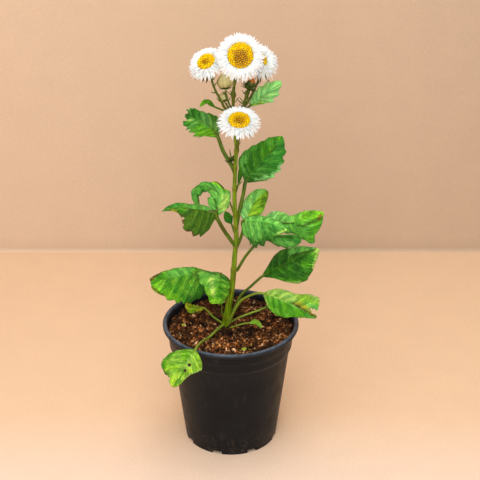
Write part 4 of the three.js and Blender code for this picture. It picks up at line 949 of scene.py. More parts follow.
LEAVES = {                        # the stalk, its radius at both ends, and the leaf's blades
    "leaf_upper_right": ([(6, 1, 224), (9, 3, 242), (12, 6, 254)], (1.7, 1.7), Blade(
        rib=[(14, 9, 265), (20, 11, 274), (30, 14, 285), (40, 17, 296), (48, 18, 307)],
        face=((-0.1, -0.9, 0.45), (-0.2, -0.8, 0.6)), teeth=7, depth=0.13,
        left=(1.5, 13, 18.5, 17.5, 15, 12, 8, 0), right=(1.5, 11, 16.5, 18, 17.5, 14, 9, 0),
        toothed=(0.3, 0.75), fold=(12, 6), curl=(-18, -16), ripple=1.0, tones=(EMERALD, FRESH),
        right_tones=(EMERALD, COOL), light=MINT, marks=[([(0.4, -0.7), (0.75, -0.75)], 6, COOL),
        ([(0.12, -0.95), (0.4, -0.97)], 4.5, FROST), ([(0.12, 0.7), (0.3, 0.7)], 4, MINT),
        ([(0.4, -0.97), (0.62, -0.97)], 2.6, FROST), ([(0.1, -0.8), (0.3, -0.98)], 1.0, OLIVE)])),
    "leaf_upper_left": ([(4.4, 0.4, 278), (2, 1, 284), (-4, 3, 294), (-7, 4, 300)], (2.0, 1.7), Blade(
        rib=[(-11, 6, 311), (-17, 8, 318), (-25, 10, 323), (-33, 12, 327), (-41, 13, 329)],
        face=((0, -0.85, 0.5), (0, -0.9, 0.4)), teeth=6, depth=0.12, left=(1.5, 8, 13, 14, 13, 12, 11, 6),
        right=(1.5, 9, 12, 11, 9.5, 8.5, 8.5, 6), toothed=(1.3, 0.5), fold=(8, 8), curl=(-14, -14),
        ripple=0.8, tones=(BRIGHT, COOL), right_tones=(OLIVE, COOL), light=FROST,
        marks=[([(0.15, 0.8), (0.4, 0.9)], 3.5, BRIGHT), ([(0.7, 0.1), (0.93, 0.4)], 0.8, PALE),
        ([(0.8, -0.5), (0.98, 0)], 4, DEEP)], bites=[(0.98, 0.45, 1.7), (0.98, -0.5, 1.5),
        (0.94, -1.0, 1.4)])),
    "leaf_top_right": ([(11, 6, 337), (15, 8, 338)], (1.2, 1.0), Blade(
        rib=[(18, 9, 340), (25, 14, 344), (35, 20, 350), (47, 27, 357)],
        face=((0, -0.75, 0.65), (0.1, -0.75, 0.65)), teeth=5, depth=0.16, left=(1.2, 5, 7.5, 8.5, 8, 5.5, 0),
        right=(1.2, 4, 7, 10, 9.5, 6, 0), fold=(10, 14), curl=(-14, -18), ripple=0.7, tones=(ICE, ICE),
        streaked=0.5, veined=0.3, right_tones=(ICE, FROST), light=PALE,
        marks=[([(0.05, -0.8), (0.3, -0.9)], 2, SPRING)])),
    "leaf_bract": ([(1, 3, 335), (-9, 1, 340)], (1.0, 0.8), Blade(
        rib=[(-14, -1, 343), (-18, -3, 347), (-22, -5, 348.5), (-27, -8, 345)],
        face=((-0.3, -0.7, 0.7), (-0.5, -0.5, 0.7)), teeth=2, depth=0.1, left=(0.9, 2.2, 3, 2.6, 0),
        right=(0.9, 2.2, 3, 2.6, 0), fold=(18, 18), tones=(FRESH, BRIGHT))),
    "leaf_middle_left": ([(4, -1, 205), (-5, -5, 221), (-11.5, -8, 235)], (1.8, 1.8), Blade(
        rib=[(-14, -9, 243), (-25, -12, 247), (-36, -14, 249.5), (-49, -15, 251), (-63, -16, 247)],
        face=((0, -0.45, 0.9), (0, -0.45, 0.9)), teeth=6, depth=0.1, lean=-0.3,
        left=(6, 19, 24.5, 25.5, 22, 7, 2.5, 0), right=(2, 6, 6, 6, 6, 5.5, 4, 0), fold=(-38, -4),
        curl=(-24, -10), ripple=0.6, tones=(MOSSY, MOSSY), right_tones=(MINT, COOL), light=OLIVE,
        streaked=0.7, bites=[(0.645, 0.66, 1.5), (0.63, 0.98, 1.7)], marks=[([(0.99, 0)], 2.5, BROWN),
        ([(0.74, 0.9), (0.82, 0.9)], 1.6, YELLOW), ([(0.66, 0.5), (0.62, 0.8)], 1.6, BROWN),
        ([(0.45, 1), (0.57, 1)], 1.6, BROWN), ([(0.66, 0.2)], 5, FRESH)]), Blade(
        rib=[(-13, -8, 239), (-11, -3, 249), (-12, 1, 257), (-19, 4, 262), (-26.5, 2, 262), (-32, -2, 256.5),
        (-29, -7, 248)], face=((0, -0.9, 0.4), (-0.7, -0.6, 0.4)), teeth=6, depth=0.12, lean=0.1,
        left=(2, 10, 9.5, 5, 4.6, 5, 5, 1.5), right=(2, 10.5, 11.5, 7.5, 5.2, 5.2, 5, 1.5),
        toothed=(1.2, 1.6), ripple=0.7, tones=(MINT, COOL), light=MINT,
        marks=[([(0.32, -0.9), (0.46, -1)], 3, LIME), ([(0.34, -1), (0.45, -1)], 1.4, BROWN),
        ([(0.12, -0.5), (0.25, -0.5)], 5, PALE), ([(0.08, 0.1), (0.24, 0.35)], 1.2, DEEP),
        ([(0.66, 0.8), (0.95, 0.9)], 3, DEEP), ([(0.12, -0.95)], 1.4, BROWN), ([(0.95, 1)], 2, OLIVE)])),
    "leaf_behind_stem": ([(5, 2, 213), (2.5, 4, 220)], (1.0, 0.8), Blade(
        rib=[(1, 6, 224), (-2, 8, 229), (-5, 11, 235)], face=((-0.1, -0.7, 0.7), (-0.1, -0.7, 0.7)), teeth=2,
        depth=0.08, left=(0.9, 3.6, 4.4, 3, 0), right=(0.9, 3.6, 4.4, 3, 0), fold=(14, 14),
        tones=(COOL, FRESH))),
    "leaf_middle_right": ([(6, 0, 203), (10, -2, 215), (12, -4, 224)], (1.5, 1.3), Blade(
        rib=[(14, -4, 231), (18, 2, 240), (25, 9, 249), (34, 15, 254)],
        face=((-0.3, -0.8, 0.5), (-0.5, -0.75, 0.4)), teeth=4, depth=0.07, left=(2, 9.5, 10.5, 10, 9, 7, 2),
        right=(2, 10, 12, 11.5, 10, 7.5, 2), fold=(0, 12), curl=(-10, -34), ripple=0.4, toothed=(0.15, 0.3),
        streaked=0.6, tones=(FROST, MINT), right_tones=(SPRING, BRIGHT), light=SPRING,
        marks=[([(0.55, -0.7), (0.8, -0.6)], 4, OLIVE), ([(0.9, -0.8), (0.99, 0)], 1.8, OLIVE)]), Blade(
        rib=[(11, -6, 232), (19, -10, 235.5), (30, -15, 236.5), (41, -19, 235.5), (52, -23, 231.5)],
        face=((0, -0.55, 0.85), (0.1, -0.6, 0.8)), teeth=6, depth=0.1, lean=-0.25,
        left=(2, 5, 6.5, 7, 6.5, 4.5, 0), right=(12, 21, 24.5, 24.5, 20.5, 12, 0), fold=(-8, -40),
        curl=(-14, -12), ripple=0.6, tones=(MINT, MINT), veined=1.0, right_tones=(MINT, COOL), light=MINT,
        marks=[([(0.15, -0.9), (0.75, -0.9)], 6, DEEP), ([(0.86, -0.7), (0.97, -0.3)], 1.6, PALE)])),
    "leaf_right_long": ([(6, 0, 178), (14, -2, 194), (24, -2, 208)], (1.4, 1.2), Blade(
        rib=[(32, 2, 221), (42, 4, 226), (53, 3, 226), (66, 0, 232), (86, -6, 242)],
        face=((-0.1, -0.6, 0.8), (0.1, -0.6, 0.8)), teeth=6, depth=0.1, left=(2, 11, 12, 10, 7, 7.5, 6, 0),
        right=(2, 7, 7.5, 8.5, 13, 25, 18, 1), fold=(10, -22), curl=(-20, -16), ripple=0.9,
        tones=(FROST, BRIGHT), toothed=(0.5, 0.9), light=MINT, right_tones=(MINT, FRESH),
        marks=[([(0.03, 0.3), (0.08, -0.4)], 3, YELLOW), ([(0.8, 0.4), (0.99, 0)], 5, BRIGHT),
        ([(0.3, 0.05), (0.62, -0.1)], 1.0, DUSK), ([(0.66, -0.2), (0.93, -0.35)], 1.4, DUSK),
        ([(0.93, -0.5), (0.97, -0.3)], 1.6, BROWN), ([(0.75, -0.8), (0.9, -0.8)], 6, FRESH)]), Blade(
        rib=[(29, 0, 216), (40, -3, 215), (52, -5, 215), (66, -8, 214)],
        face=((0, -0.85, 0.5), (0, -0.85, 0.5)), teeth=4, depth=0.12, left=(1.6, 4.5, 3.5, 2.5, 4, 1),
        right=(1.6, 5, 8, 9.5, 9, 2), curl=(-10, -14), ripple=0.4, tones=(MINT, COOL), light=MINT,
        marks=[([(0.02, 0)], 4, YELLOW), ([(0.1, -0.9), (0.7, -1)], 1.6, DUSK),
        ([(0.2, 0.2), (0.8, 0.1)], 1.2, DEEP), ([(0.4, -0.5), (0.8, -0.5)], 3, MINT)])),
    "leaf_low_right_dark": ([(-1, 4, 126), (4, 3, 137), (10, 3, 150), (19, 2, 160)], (1.4, 1.2), Blade(
        rib=[(30, 2, 171), (46, 1, 182), (64, 0, 193), (83, -1, 202)],
        face=((0, -0.8, 0.6), (0.1, -0.8, 0.6)), teeth=6, depth=0.07, lean=0.12,
        left=(1, 5.5, 11, 13, 11.5, 9, 5, 0), right=(1, 7, 16, 22, 23.5, 20, 12, 1), fold=(6, 6),
        curl=(-22, -22), ripple=0.9, tones=(DEEP, DEEP), toothed=(0.1, 0.35),
        marks=[([(0.6, 0.7), (0.9, 0.7)], 6, MINT), ([(0.15, -1), (0.6, -1)], 5, FRESH),
        ([(0.7, -0.5), (0.9, -0.6)], 6, FRESH), ([(0.55, 0.3), (0.97, 0.05)], 1.3, DUSK),
        ([(0.8, -0.95), (0.95, -0.7)], 1.8, PALE), ([(0.3, -0.93), (0.5, -0.9)], 0.9, PALE),
        ([(0.94, -0.2), (0.98, 0)], 2, PALE)])),
    "leaf_low_right_light": (
        [(-2, -1, 121), (3, -4, 136), (9, -6, 148), (15, -8, 154), (24, -10, 159)], (1.3, 1.1), Blade(
        rib=[(31, -12, 160), (44, -17, 158), (60, -22, 151), (81, -26, 142)],
        face=((0, -0.7, 0.7), (0.1, -0.75, 0.65)), teeth=6, depth=0.08,
        left=(1.5, 6.5, 9.5, 10.5, 12, 16, 18.5, 17), right=(1.5, 11, 14.5, 15, 13.5, 9, 5, 1), fold=(10, 4),
        curl=(-18, -20), ripple=0.9, tones=(SPRING, MINT), toothed=(0.2, 0.5), light=MINT,
        right_tones=(BRIGHT, FRESH), streaked=0.7, marks=[([(0.15, 0.5), (0.6, 0.6)], 6, PALE),
        ([(0.7, 0.7), (0.9, 0.9)], 7, SPRING), ([(0.8, 0.98), (0.92, 0.9)], 4, PALE),
        ([(0.66, 0.3), (0.95, 0.15)], 2.4, YELLOW), ([(0.62, 0.16), (0.8, 0.08), (0.99, 0)], 1.3, BROWN),
        ([(0.02, -0.8), (0.14, -1)], 2.5, PALE), ([(0.3, -0.5), (0.7, -0.5)], 5, FRESH),
        ([(0.05, 0), (0.5, 0)], 0.8, PALE)], bites=[(0.99, 0.24, 3.0), (0.93, 0.22, 2.2), (0.89, 0.24, 1.3),
        (0.99, 0.55, 2.8), (0.99, 0.78, 3.4), (0.99, 1.0, 4.2)])),
    "leaf_low_left": ([(1, 1, 157), (-2, 3, 166), (-10, 4, 172)], (1.5, 1.5), Blade(
        rib=[(-18, 4, 173), (-28, 5, 171), (-42, 6, 170), (-58, 5, 168), (-76.5, 2, 164.5)],
        face=((0, -0.7, 0.7), (-0.1, -0.75, 0.65)), teeth=7, depth=0.08,
        left=(2, 17, 24, 27, 26, 23.5, 18, 6), right=(2, 4.5, 7, 8.5, 8.5, 8, 7, 3), fold=(-4, 4),
        curl=(-24, -22), ripple=1.1, tones=(COOL, FRESH), toothed=(0.8, 0.6), light=SPRING,
        marks=[([(0.65, 0.95), (0.97, 0.7)], 7, BRIGHT), ([(0.86, 1), (0.98, 0.6)], 1.2, BROWN),
        ([(0.85, -1), (0.99, -0.4)], 2, BROWN), ([(0.1, 0.3), (0.15, 0.9)], 4, OLIVE),
        ([(0.45, -0.5), (0.7, -0.3)], 5, MINT), ([(0.15, 0.8), (0.4, 1)], 6, DEEP)]), Blade(
        rib=[(-9, 2, 173), (-11, -6, 170), (-12.5, -10, 160), (-13.5, -13, 149)],
        face=((0.1, -0.8, 0.6), (0.1, -0.9, 0.4)), teeth=5, depth=0.1, lean=-0.28,
        left=(4, 9, 11, 12, 12, 10, 6), right=(4, 19, 23, 19, 13, 9, 5), fold=(-6, -8), curl=(-14, -12),
        ripple=0.7, tones=(COOL, FRESH), right_tones=(MINT, BRIGHT), light=SPRING, toothed=(0.5, 0.9),
        marks=[([(0.3, -0.3), (0.75, -0.3)], 3, PALE), ([(0.05, -0.6), (0.1, -0.9)], 6, COOL),
        ([(0.25, -0.97), (0.75, -0.97)], 1.8, DEEP), ([(0.4, 0.1), (0.8, 0.1)], 3, FRESH)])),
    "leaf_withered": ([(-8, 4, 119), (-17, 3, 127), (-22, 3, 133)], (0.9, 0.8), Blade(
        rib=[(-26, 2, 137), (-32, -1, 137), (-39, -3, 141), (-41, -4, 149)],
        face=((0, -0.9, 0.4), (0, -0.9, 0.3)), teeth=3, depth=0.12, left=(1, 4, 5, 4.5, 0),
        right=(1, 3.5, 4.5, 4, 0), fold=(16, 16), curl=(20, 20), ripple=0.3, tones=(LIME, YELLOW),
        light=YELLOW, marks=[([(0.02, 0), (0.25, 0.4)], 4, YELLOW), ([(0.2, 0.9), (0.4, 0.9)], 2.5, BROWN)])),
    "leaf_front": (
        [(-7, 1, 119), (-13, -10, 119.5), (-20, -28, 122), (-26, -44, 127), (-30, -55, 129)],
        (1.4, 1.1), Blade(
        rib=[(-32, -62, 129), (-38, -71, 123), (-44, -77, 113), (-51.5, -80.5, 99)],
        face=((0, -0.55, 0.85), (-0.1, -0.95, 0.3)), teeth=5, depth=0.12,
        left=(1.5, 11, 14.5, 13, 8.5, 5.5, 4, 0), right=(1.5, 13, 18, 20.5, 21.5, 20, 13, 2),
        toothed=(0.15, 0.12), fold=(4, 2), curl=(-20, -14), ripple=0.8, tones=(SPRING, SPRING), light=PALE,
        right_tones=(BRIGHT, SPRING), marks=[([(0.99, 0.2)], 3, YELLOW), ([(0.3, 1), (0.7, 1)], 2, PALE),
        ([(0.25, -0.95), (0.75, -0.9)], 3, FRESH), ([(0.8, -0.95), (0.86, -0.8)], 2, DEEP),
        ([(0.6, 0.05), (0.95, 0.05)], 1.6, FRESH), ([(0.2, 0), (0.5, 0.02)], 0.9, PALE)],
        bites=[(0.42, 0.2, 1.5), (0.59, 0.15, 1.6), (0.91, -0.92, 2.2), (0.88, -1.0, 2.0)])),
    "leaf_basal_small": ([(-3, 0, 115), (5, -5, 121), (12, -7, 124.5)], (0.8, 0.7), Blade(
        rib=[(18, -8, 126), (24, -9, 127), (30, -11, 122.5)], face=((0, -0.6, 0.8), (0.4, -0.6, 0.6)),
        teeth=2, depth=0.14, left=(0.8, 2.6, 3, 2.6, 0), right=(0.8, 2.2, 2.6, 2.2, 0), fold=(12, 12),
        tones=(SPRING, SPRING), light=PALE)),
    "leaf_basal_back": ([(-2, 5, 118), (8, 4, 125), (18, 4, 129.5), (26, 5, 132)], (1.1, 0.9), Blade(
        rib=[(33, 6, 135), (40, 7, 136.5), (48, 8, 136)], face=((0, -0.6, 0.8), (0, -0.6, 0.8)), teeth=2,
        depth=0.1, left=(1, 3, 3.6, 3, 0), right=(1, 3.4, 4, 3, 0), fold=(8, 8), tones=(DEEP, DEEP))),
    "leaf_stem_sprig": ([(4, 0, 256), (6, 2, 261)], (0.9, 0.8), Blade(
        rib=[(7.5, 4, 266), (8.5, 5, 274), (9, 6, 284)], face=((0.2, -0.9, 0.3), (0.2, -0.9, 0.3)), teeth=2,
        depth=0.06, left=(0.8, 1.6, 1.9, 1.4, 0), right=(0.8, 1.9, 2.4, 1.6, 0), fold=(16, 16),
        tones=(DEEP, FRESH))),
}


def unit(vectors):
    return vectors / np.maximum(np.linalg.norm(vectors, axis=-1, keepdims=True), 1e-9)


def paint(colour):
    """A colour of 0 to 255 as the light it gives off."""
    share = np.array(colour) / 255
    return np.where(share > 0.04045, ((share + 0.055) / 1.055) ** 2.4, share / 12.92)


def noise_on(points, scale, seed):
    flat = points.reshape(-1, 3)
    values = [noise.noise((x * scale, y * scale, z * scale + seed * 9.7)) for x, y, z in flat]
    return np.array(values).reshape(points.shape[:-1])


def slab(upper, lower, kept, **values):
    """A closed sheet between two grids of points, without the faces that aren't kept."""
    rows, columns = upper.shape[:2]
    shift = rows * columns
    number = np.arange(shift).reshape(rows, columns)
    top = [tuple(map(int, (number[i, k], number[i + 1, k], number[i + 1, k + 1], number[i, k + 1])))
           for i in range(rows - 1) for k in range(columns - 1) if kept[i, k]]
    edges = {(face[j], face[(j + 1) % 4]) for face in top for j in range(4)}
    faces = top + [tuple(corner + shift for corner in reversed(face)) for face in top]
    faces += [(b, a, a + shift, b + shift) for a, b in edges if (b, a) not in edges]
    used = np.unique([corner for face in faces for corner in face])
    new_number = np.full(2 * shift, -1)
    new_number[used] = np.arange(len(used))
    faces = [tuple(int(new_number[corner]) for corner in face) for face in faces]
    values = {label: np.concatenate([side.reshape(shift, -1) for side in both])[used]
              for label, both in {"points": (upper, lower), **values}.items()}
    values = {label: numbers[:, 0] if numbers.shape[1] == 1 else numbers for label, numbers in values.items()}
    return new_mesh("blade", values.pop("points"), faces, leaf_green, **values)


def blade_form(blade):
    """The middle sheet of a blade as the CAD has it, on a fine grid, with sharper teeth."""
    teeth, rib = blade.teeth, blade.rib
    u = np.array([(tooth + place) / teeth for tooth in range(teeth) for place in TOOTH_ROWS])
    u = np.append(np.maximum(u, 0.012)[u <= 0.985], 0.99)
    step = np.linspace(-1, 1, BLADE_COLUMNS if blade.widest > 9 else SMALL_BLADE_COLUMNS)
    v = np.sign(step) * (0.55 * np.abs(step) + 0.45 * step * step)
    U, V = np.meshgrid(u, v, indexing="ij")
    reach = np.abs(V)
    ahead = unit(curve_at(rib, u + 1e-4) - curve_at(rib, u - 1e-4))
    face = np.array(blade.face[0]) * (1 - u[:, None]) + np.array(blade.face[1]) * u[:, None]
    side = unit(np.cross(face, ahead))
    up = np.cross(ahead, side)
    left, right = (np.maximum(curve_at(np.array(half)[:, None], u), NARROWEST)
                   for half in (blade.left, blade.right))
    full = np.where(V > 0, left, right)
    place = (U * teeth) % 1
    rise = np.where(place < TOOTH_PEAK, place / TOOTH_PEAK, (1 - place) / (1 - TOOTH_PEAK))
    lobe = 0.5 * rise + 0.5 * (1 - (1 - rise) ** 1.5)
    sharp, fold, curl = (np.where(V > 0, *both) for both in (blade.toothed, blade.fold, blade.curl))
    cut = sharp * TOOTH_GAIN * blade.depth * (0.45 + 0.8 * U) * np.minimum(1, 4 * U)
    out = full * (1 + cut * 0.25 - cut * (1 - lobe) * reach**3) * reach
    angle = np.radians(fold + curl * reach / 2)
    wave = blade.ripple * reach**2 * np.sin(math.pi * (U * 5 + (V <= 0))) * np.sin(math.pi * U)
    hook = 0.3 * cut * full * rise**2 * reach**4
    grid = curve_at(rib, u)[:, None] + side[:, None] * (np.sign(V) * out * np.cos(angle))[..., None]
    grid = grid + up[:, None] * (out * np.sin(angle) + wave)[..., None]
    grid = grid + ahead[:, None] * (blade.lean * out * (1 - U) + hook)[..., None]
    return u, v, U, V, reach, grid, out, full


def blade_mesh(blade, seed):
    """A toothed blade, quilted between its veins, with its colours and painted light and shade on its points.
    """
    u, v, U, V, reach, grid, out, full = blade_form(blade)
    normal = unit(np.cross(np.gradient(grid, axis=0), np.gradient(grid, axis=1)))
    spacing = math.dist(blade.rib[0], blade.rib[-1]) / blade.teeth
    phase = blade.teeth * U - TOOTH_PEAK + VEIN_REACH * (full / blade.widest) * (1 - reach)
    off_vein, off_branch = (np.abs(at - np.round(at)) * spacing * 0.7 for at in (phase, phase + 0.5))
    ridge = np.abs(np.sin(math.pi * phase)) ** 0.6
    quilt = ridge * np.sin(math.pi * reach**0.8) ** 0.5 * np.minimum(1, out / 3)
    branch = np.exp(-(off_branch / 0.9) ** 2) * np.clip((reach - 0.35) * 3, 0, 1) * (1 - reach**6)
    groove = 0.5 * np.exp(-(out / 0.8) ** 2) * min(1, blade.widest / 8)
    rough = 0.7 * noise_on(grid, 0.09, seed) * np.minimum(1, blade.widest / 9)
    rough = rough + 0.3 * noise_on(grid, 0.3, seed) + 0.16 * noise_on(grid, 0.7, seed)
    relief_size = QUILT * min(spacing, 10)
    height = (relief_size * (quilt - 0.35 * branch) - groove + rough)[..., None] * normal
    thick = (BLADE_THICK * (1 - 0.5 * reach**2))[..., None] * normal / 2
    vein = np.exp(-(off_vein / (0.7 - 0.3 * reach)) ** 2) * (1 - reach**4) * np.minimum(1, out / 2)
    vein = np.maximum(vein, np.exp(-(out / 0.7) ** 2)) * blade.veined

    left, right = (np.array([paint(tone) for tone in tones]) for tones in (blade.tones, blade.right_tones))
    ends = np.where((V > 0)[..., None, None], left, right)
    share = np.clip(0.5 + (U - 0.5) * 1.3 + 0.3 * noise_on(grid, 0.07, seed + 3), 0, 1)[..., None]
    colour = ends[..., 0, :] * (1 - share) + ends[..., 1, :] * share
    dapple = np.clip(0.8 * noise_on(grid, 0.13, seed + 7) + 0.12, 0, 0.28)[..., None]
    colour = colour * (1 - dapple) + paint(blade.light) * dapple
    colour = colour * (1 - 0.08 * np.clip(1.7 * noise_on(grid, 0.19, seed + 9), 0, 1))[..., None]
    ragged = 1 + 0.7 * noise_on(grid, 0.35, seed + 5)

    def spot(along, across):
        return grid[np.abs(u - along).argmin(), np.abs(v - across).argmin()]

    for path, size, mark in blade.marks:
        path = curve_at(path, np.linspace(0, 1, 33)) if len(path) > 1 else path
        near = np.min([np.linalg.norm(grid - spot(*place), axis=-1) for place in path], axis=0)
        weight = np.clip(1.5 * (1 - near / (size * ragged)), 0, 0.85)[..., None]
        colour = colour * (1 - weight) + paint(mark) * weight
    # Painted light and shade of the quilting: each panel between veins is lighter on one side and darker on
    # the other, and darker in the grooves. Shaded parts turn a deeper green.
    painted_quilt_shade = 1.035 + 0.1 * (ridge - 1) + 0.2 * np.sin(math.tau * phase + 0.6) * (1 - reach**4)
    colour = colour * painted_quilt_shade[..., None] ** SHADE_HUE
    kept = np.ones((len(u) - 1, len(v) - 1), bool)
    middle = (grid[:-1, :-1] + grid[1:, 1:]) / 2
    for along, across, size in blade.bites:
        kept &= np.linalg.norm(middle - spot(along, across), axis=-1) > size
    colour = np.concatenate([np.maximum(colour, 0), np.ones_like(share)], axis=-1)
    nothing, all_of = np.zeros_like(U), np.ones_like(U)
    course = np.stack([phase, V * full / 12, all_of * seed * 3.7, all_of * blade.streaked], axis=-1)
    return slab(grid + height + thick, grid + height - thick, kept, tint=(colour, colour), vein=(vein, vein),
                under=(nothing, all_of), margin=(reach, reach), course=(course, course))


leaf_green, tree = finish("leaf green", specular=0.28, subsurface_weight=0.05, subsurface_scale=0.0006)
streaked = painted(tree, "course", "Alpha")
streaks = speckle(tree, 1.0, 5, (7.5, 3.0, 1.0), place=streaked.beside("Vector"))
streaks = between(streaks, 0.36, 0.64)
clouds = between(speckle(tree, 110, 4, warp=0.4), 0.32, 0.68, 0.92, 1.1)
mottle = between(speckle(tree, 700, 3), 0.32, 0.68, 0.8, 1.2)
striped = mixed(streaked, (1, 1, 1), mixed(streaks, (0.58, 0.7, 0.62), (1.3, 1.27, 1.26)))
green = times(painted(tree, "tint", "Color"), times(striped, clouds * mottle))
net = add(tree, "ShaderNodeTexVoronoi", {"Vector": here(tree), "Scale": 480.0}, feature="DISTANCE_TO_EDGE")
net = between(net, 0.0, 0.12)
lit = mixed(1.0, green, (0.05, 0.09, 0.015), "ADD")
green = mixed(calc("SUBTRACT", 1.0, net) * 0.28, green, lit)
pale = mixed(1.0, times(green, (1.4, 1.35, 1.3)), (0.06, 0.1, 0.02), "ADD")
green = mixed(painted(tree, "vein"), green, pale)
# Painted highlights: paler where the streaks are highest.
green = mixed(streaked * between(streaks, 0.7, 1.0, 0, 0.3), green, pale)
green = mixed(between(painted(tree, "margin"), 0.95, 1.0, 0, 0.45), green, times(green, (0.75, 0.45, 0.4)))
under = painted(tree, "under")
gloss = between(speckle(tree, 300, 3), 0.3, 0.7, 0.38, 0.56)
dress(tree, base_color=mixed(under, green, mixed(0.5, green, (0.13, 0.2, 0.035))),
      roughness=mixed(under, gloss, (0.7, 0.7, 0.7)))
relief(tree, net + (streaks * 2.2 + speckle(tree, 1500) * 0.4), 0.0005)
high_stalk = streaked_green(
    "upper leaf stalk green", (0.02, 0.055, 0.001), (0.12, 0.19, 0.004), (0.06, 0.04, 0.002), 0.45)
low_stalk = streaked_green(
    "lower leaf stalk green", (0.08, 0.15, 0.003), (0.26, 0.34, 0.03), (0.14, 0.12, 0.01), 0.45)

for order, (node, (leaf_stalk, (thick, slim), *blades)) in enumerate(LEAVES.items()):
    parts, lines = [], []
    for which, blade in enumerate(blades):
        foot = leaf_stalk if which == 0 else leaf_stalk[-1:]
        line = [(*point, thick + (slim - thick) * k / len(leaf_stalk)) for k, point in enumerate(foot)]
        line.append((*blade.rib[0], slim))
        for share in RIB_PLACES:
            middle = curve_at(blade.rib, np.array([share]))[0]
            ahead = unit(curve_at(blade.rib, np.array([share + 0.01]))[0] - middle)
            face = np.array(blade.face[0]) * (1 - share) + np.array(blade.face[1]) * share
            up = np.cross(ahead, unit(np.cross(face, ahead)))
            radius = slim * (0.8 - 0.7 * share)
            line.append((*(middle - up * (0.9 * radius + 0.55)), radius))
        lines.append(line)
        parts.append(blade_mesh(blade, order * 2 + which))
    green = low_stalk if node in LOW_STALKS else high_stalk
    stalks = grown(stalk, stalk_lines(lines), sides=14, ribs=3.0, rib_depth=0.08, finish=green)
    fuzz = grown(scatter, stalks.copy(), pieces=hair, density=LEAF_HAIRS, smallest=0.3, largest=0.75,
                 tumble=0.45, seed=order, finish=hair_white)
    leaf_piece = placed(node.replace("leaf_", "") + "_leaf", joined("leaf", [*parts, stalks, fuzz]))
    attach(leaf_piece, "root")
    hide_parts(node)
drop(hair)

# Flower heads. Each head is a ring of soft white strap petals in several crowded layers, longest
# outside, round a low dome of tiny golden florets. The outer florets are open and bright, the
# inner ones still shut. All stand on the green cup.
RAY_LAYERS = 7
RAYS_IN_LAYER = 58
RAY_WIDTH = 0.09                  # share of the head's radius
FLORET_PITCH = 1.9                # from one floret of the disc to the next
FLORET_SIZE = 0.56                # a floret's radius, as a share of the pitch
OPEN_FROM = 0.66                  # how far out florets are open, as a share of the disc
YOUNG_BELOW = 0.2                 # how far the youngest florets lie under the middle, as a share of the disc
DISC_FOOT, DISC_SHOULDER, DISC_RISE = 0.03, 0.07, 0.16       # heights, as shares of the head's radius
HEART_BELOW = 0.4                 # how far the disc's heart lies under its florets


def floret_tree():
    """Packs florets on a dome in a spiral, as a daisy does."""
    tree, given = tree_with(
        "floret spiral", Pieces="Collection", Count=200, Radius=0.01, Shoulder=0.001, Rise=0.003,
        Size=0.0007, Open_from=0.5, Young_below=0.18, Riper=0.0, Seed=1, Finish="Material")
    number = add(tree, "GeometryNodeInputIndex")
    area = (number + 0.5) / given["Count"]
    share = calc("SQRT", area)
    turn = number * (math.pi * (3 - math.sqrt(5)))
    east, north = calc("COSINE", turn), calc("SINE", turn)
    away = share * given["Radius"]
    dome = calc("SQRT", calc("MAXIMUM", calc("SUBTRACT", 1.0, area), 0.0))
    at = xyz(away * east, away * north, given["Shoulder"] + dome * given["Rise"])
    spots = add(tree, "GeometryNodePoints", {"Count": given["Count"], "Position": at})
    lean = share * share * 0.75
    jitter = dice(number, (-0.12, -0.12, 0.0), (0.12, 0.12, 0.0), 21)
    outward = vector("ADD", xyz(lean * east, lean * north, 1.0), jitter)
    upright = add(tree, "FunctionNodeAlignRotationToVector", {"Vector": outward}, axis="Z")
    upright = spun(upright, xyz(0.0, 0.0, dice(number, 0.0, math.tau, 22)))
    from_young = xyz(share * east, share * north + given["Young below"])
    from_young = vector("LENGTH", from_young, out="Value")
    ripe = from_young + given["Riper"] + dice(number, -0.12, 0.12, 23)
    is_open = calc("GREATER_THAN", ripe, given["Open from"])
    size = given["Size"] * dice(number, 0.85, 1.2, 24)
    pieces = laid(spots, given, upright, size, **{"Instance Index": is_open})
    return closed(tree, noted(pieces, ripe=ripe, tint=dice(number, 0.0, 1.0, 25)), given)


def floret(profile, steps, lobes):
    """A tiny tube or knob; the rim of an open one is drawn out in lobes."""
    points, faces = turned(profile, steps)
    rim = max(height for _, height in profile)
    for point in points:
        if lobes and point[2] > 0.85:
            turn = math.atan2(point[1], point[0])
            point[:2] *= 1 + 0.35 * math.cos(lobes * turn)
    return new_mesh("floret", points / MM, faces, tall=points[:, 2] / rim)


petal_white, tree = finish(
    "petal white", roughness=0.55, specular=0.2, subsurface_weight=0.4, subsurface_scale=0.003)
white = mixed(painted(tree, "tint"), (0.97, 0.955, 0.9), (0.99, 0.985, 0.955))
root = between(painted(tree, "reach"), 0.3, 0.0, 0, 0.6)
dress(tree, base_color=mixed(root, white, (0.9, 0.88, 0.62)))
relief(tree, speckle(tree, 1400, 3), 0.0001)

floret_gold, tree = finish(
    "floret gold", roughness=0.8, specular=0.04, subsurface_weight=0.15, subsurface_scale=0.0006)
ripe, tint, tall = (painted(tree, name) for name in ("ripe", "tint", "tall"))
young = mixed(tint, (0.6, 0.26, 0.0005), (1.0, 0.55, 0.001))
old = mixed(tint, (0.9, 0.5, 0.001), (0.98, 0.74, 0.003))
gold = mixed(between(ripe, 0.3, 0.75), young, old)
# Painted shade: the lower part of each floret, seen in the gaps between florets, is darker, most of all among
# the young shut ones in the middle.
deep = times(gold, mixed(between(ripe, 0.4, 0.75), (0.22, 0.12, 0.02), (0.8, 0.65, 0.35)))
dress(tree, base_color=mixed(between(tall, 0.35, 0.9), deep, gold))
relief(tree, speckle(tree, 2500), 0.0001)

disc_heart, tree = finish("disc heart", roughness=0.8)
shade = between(speckle(tree, 900, 3), 0.35, 0.65)
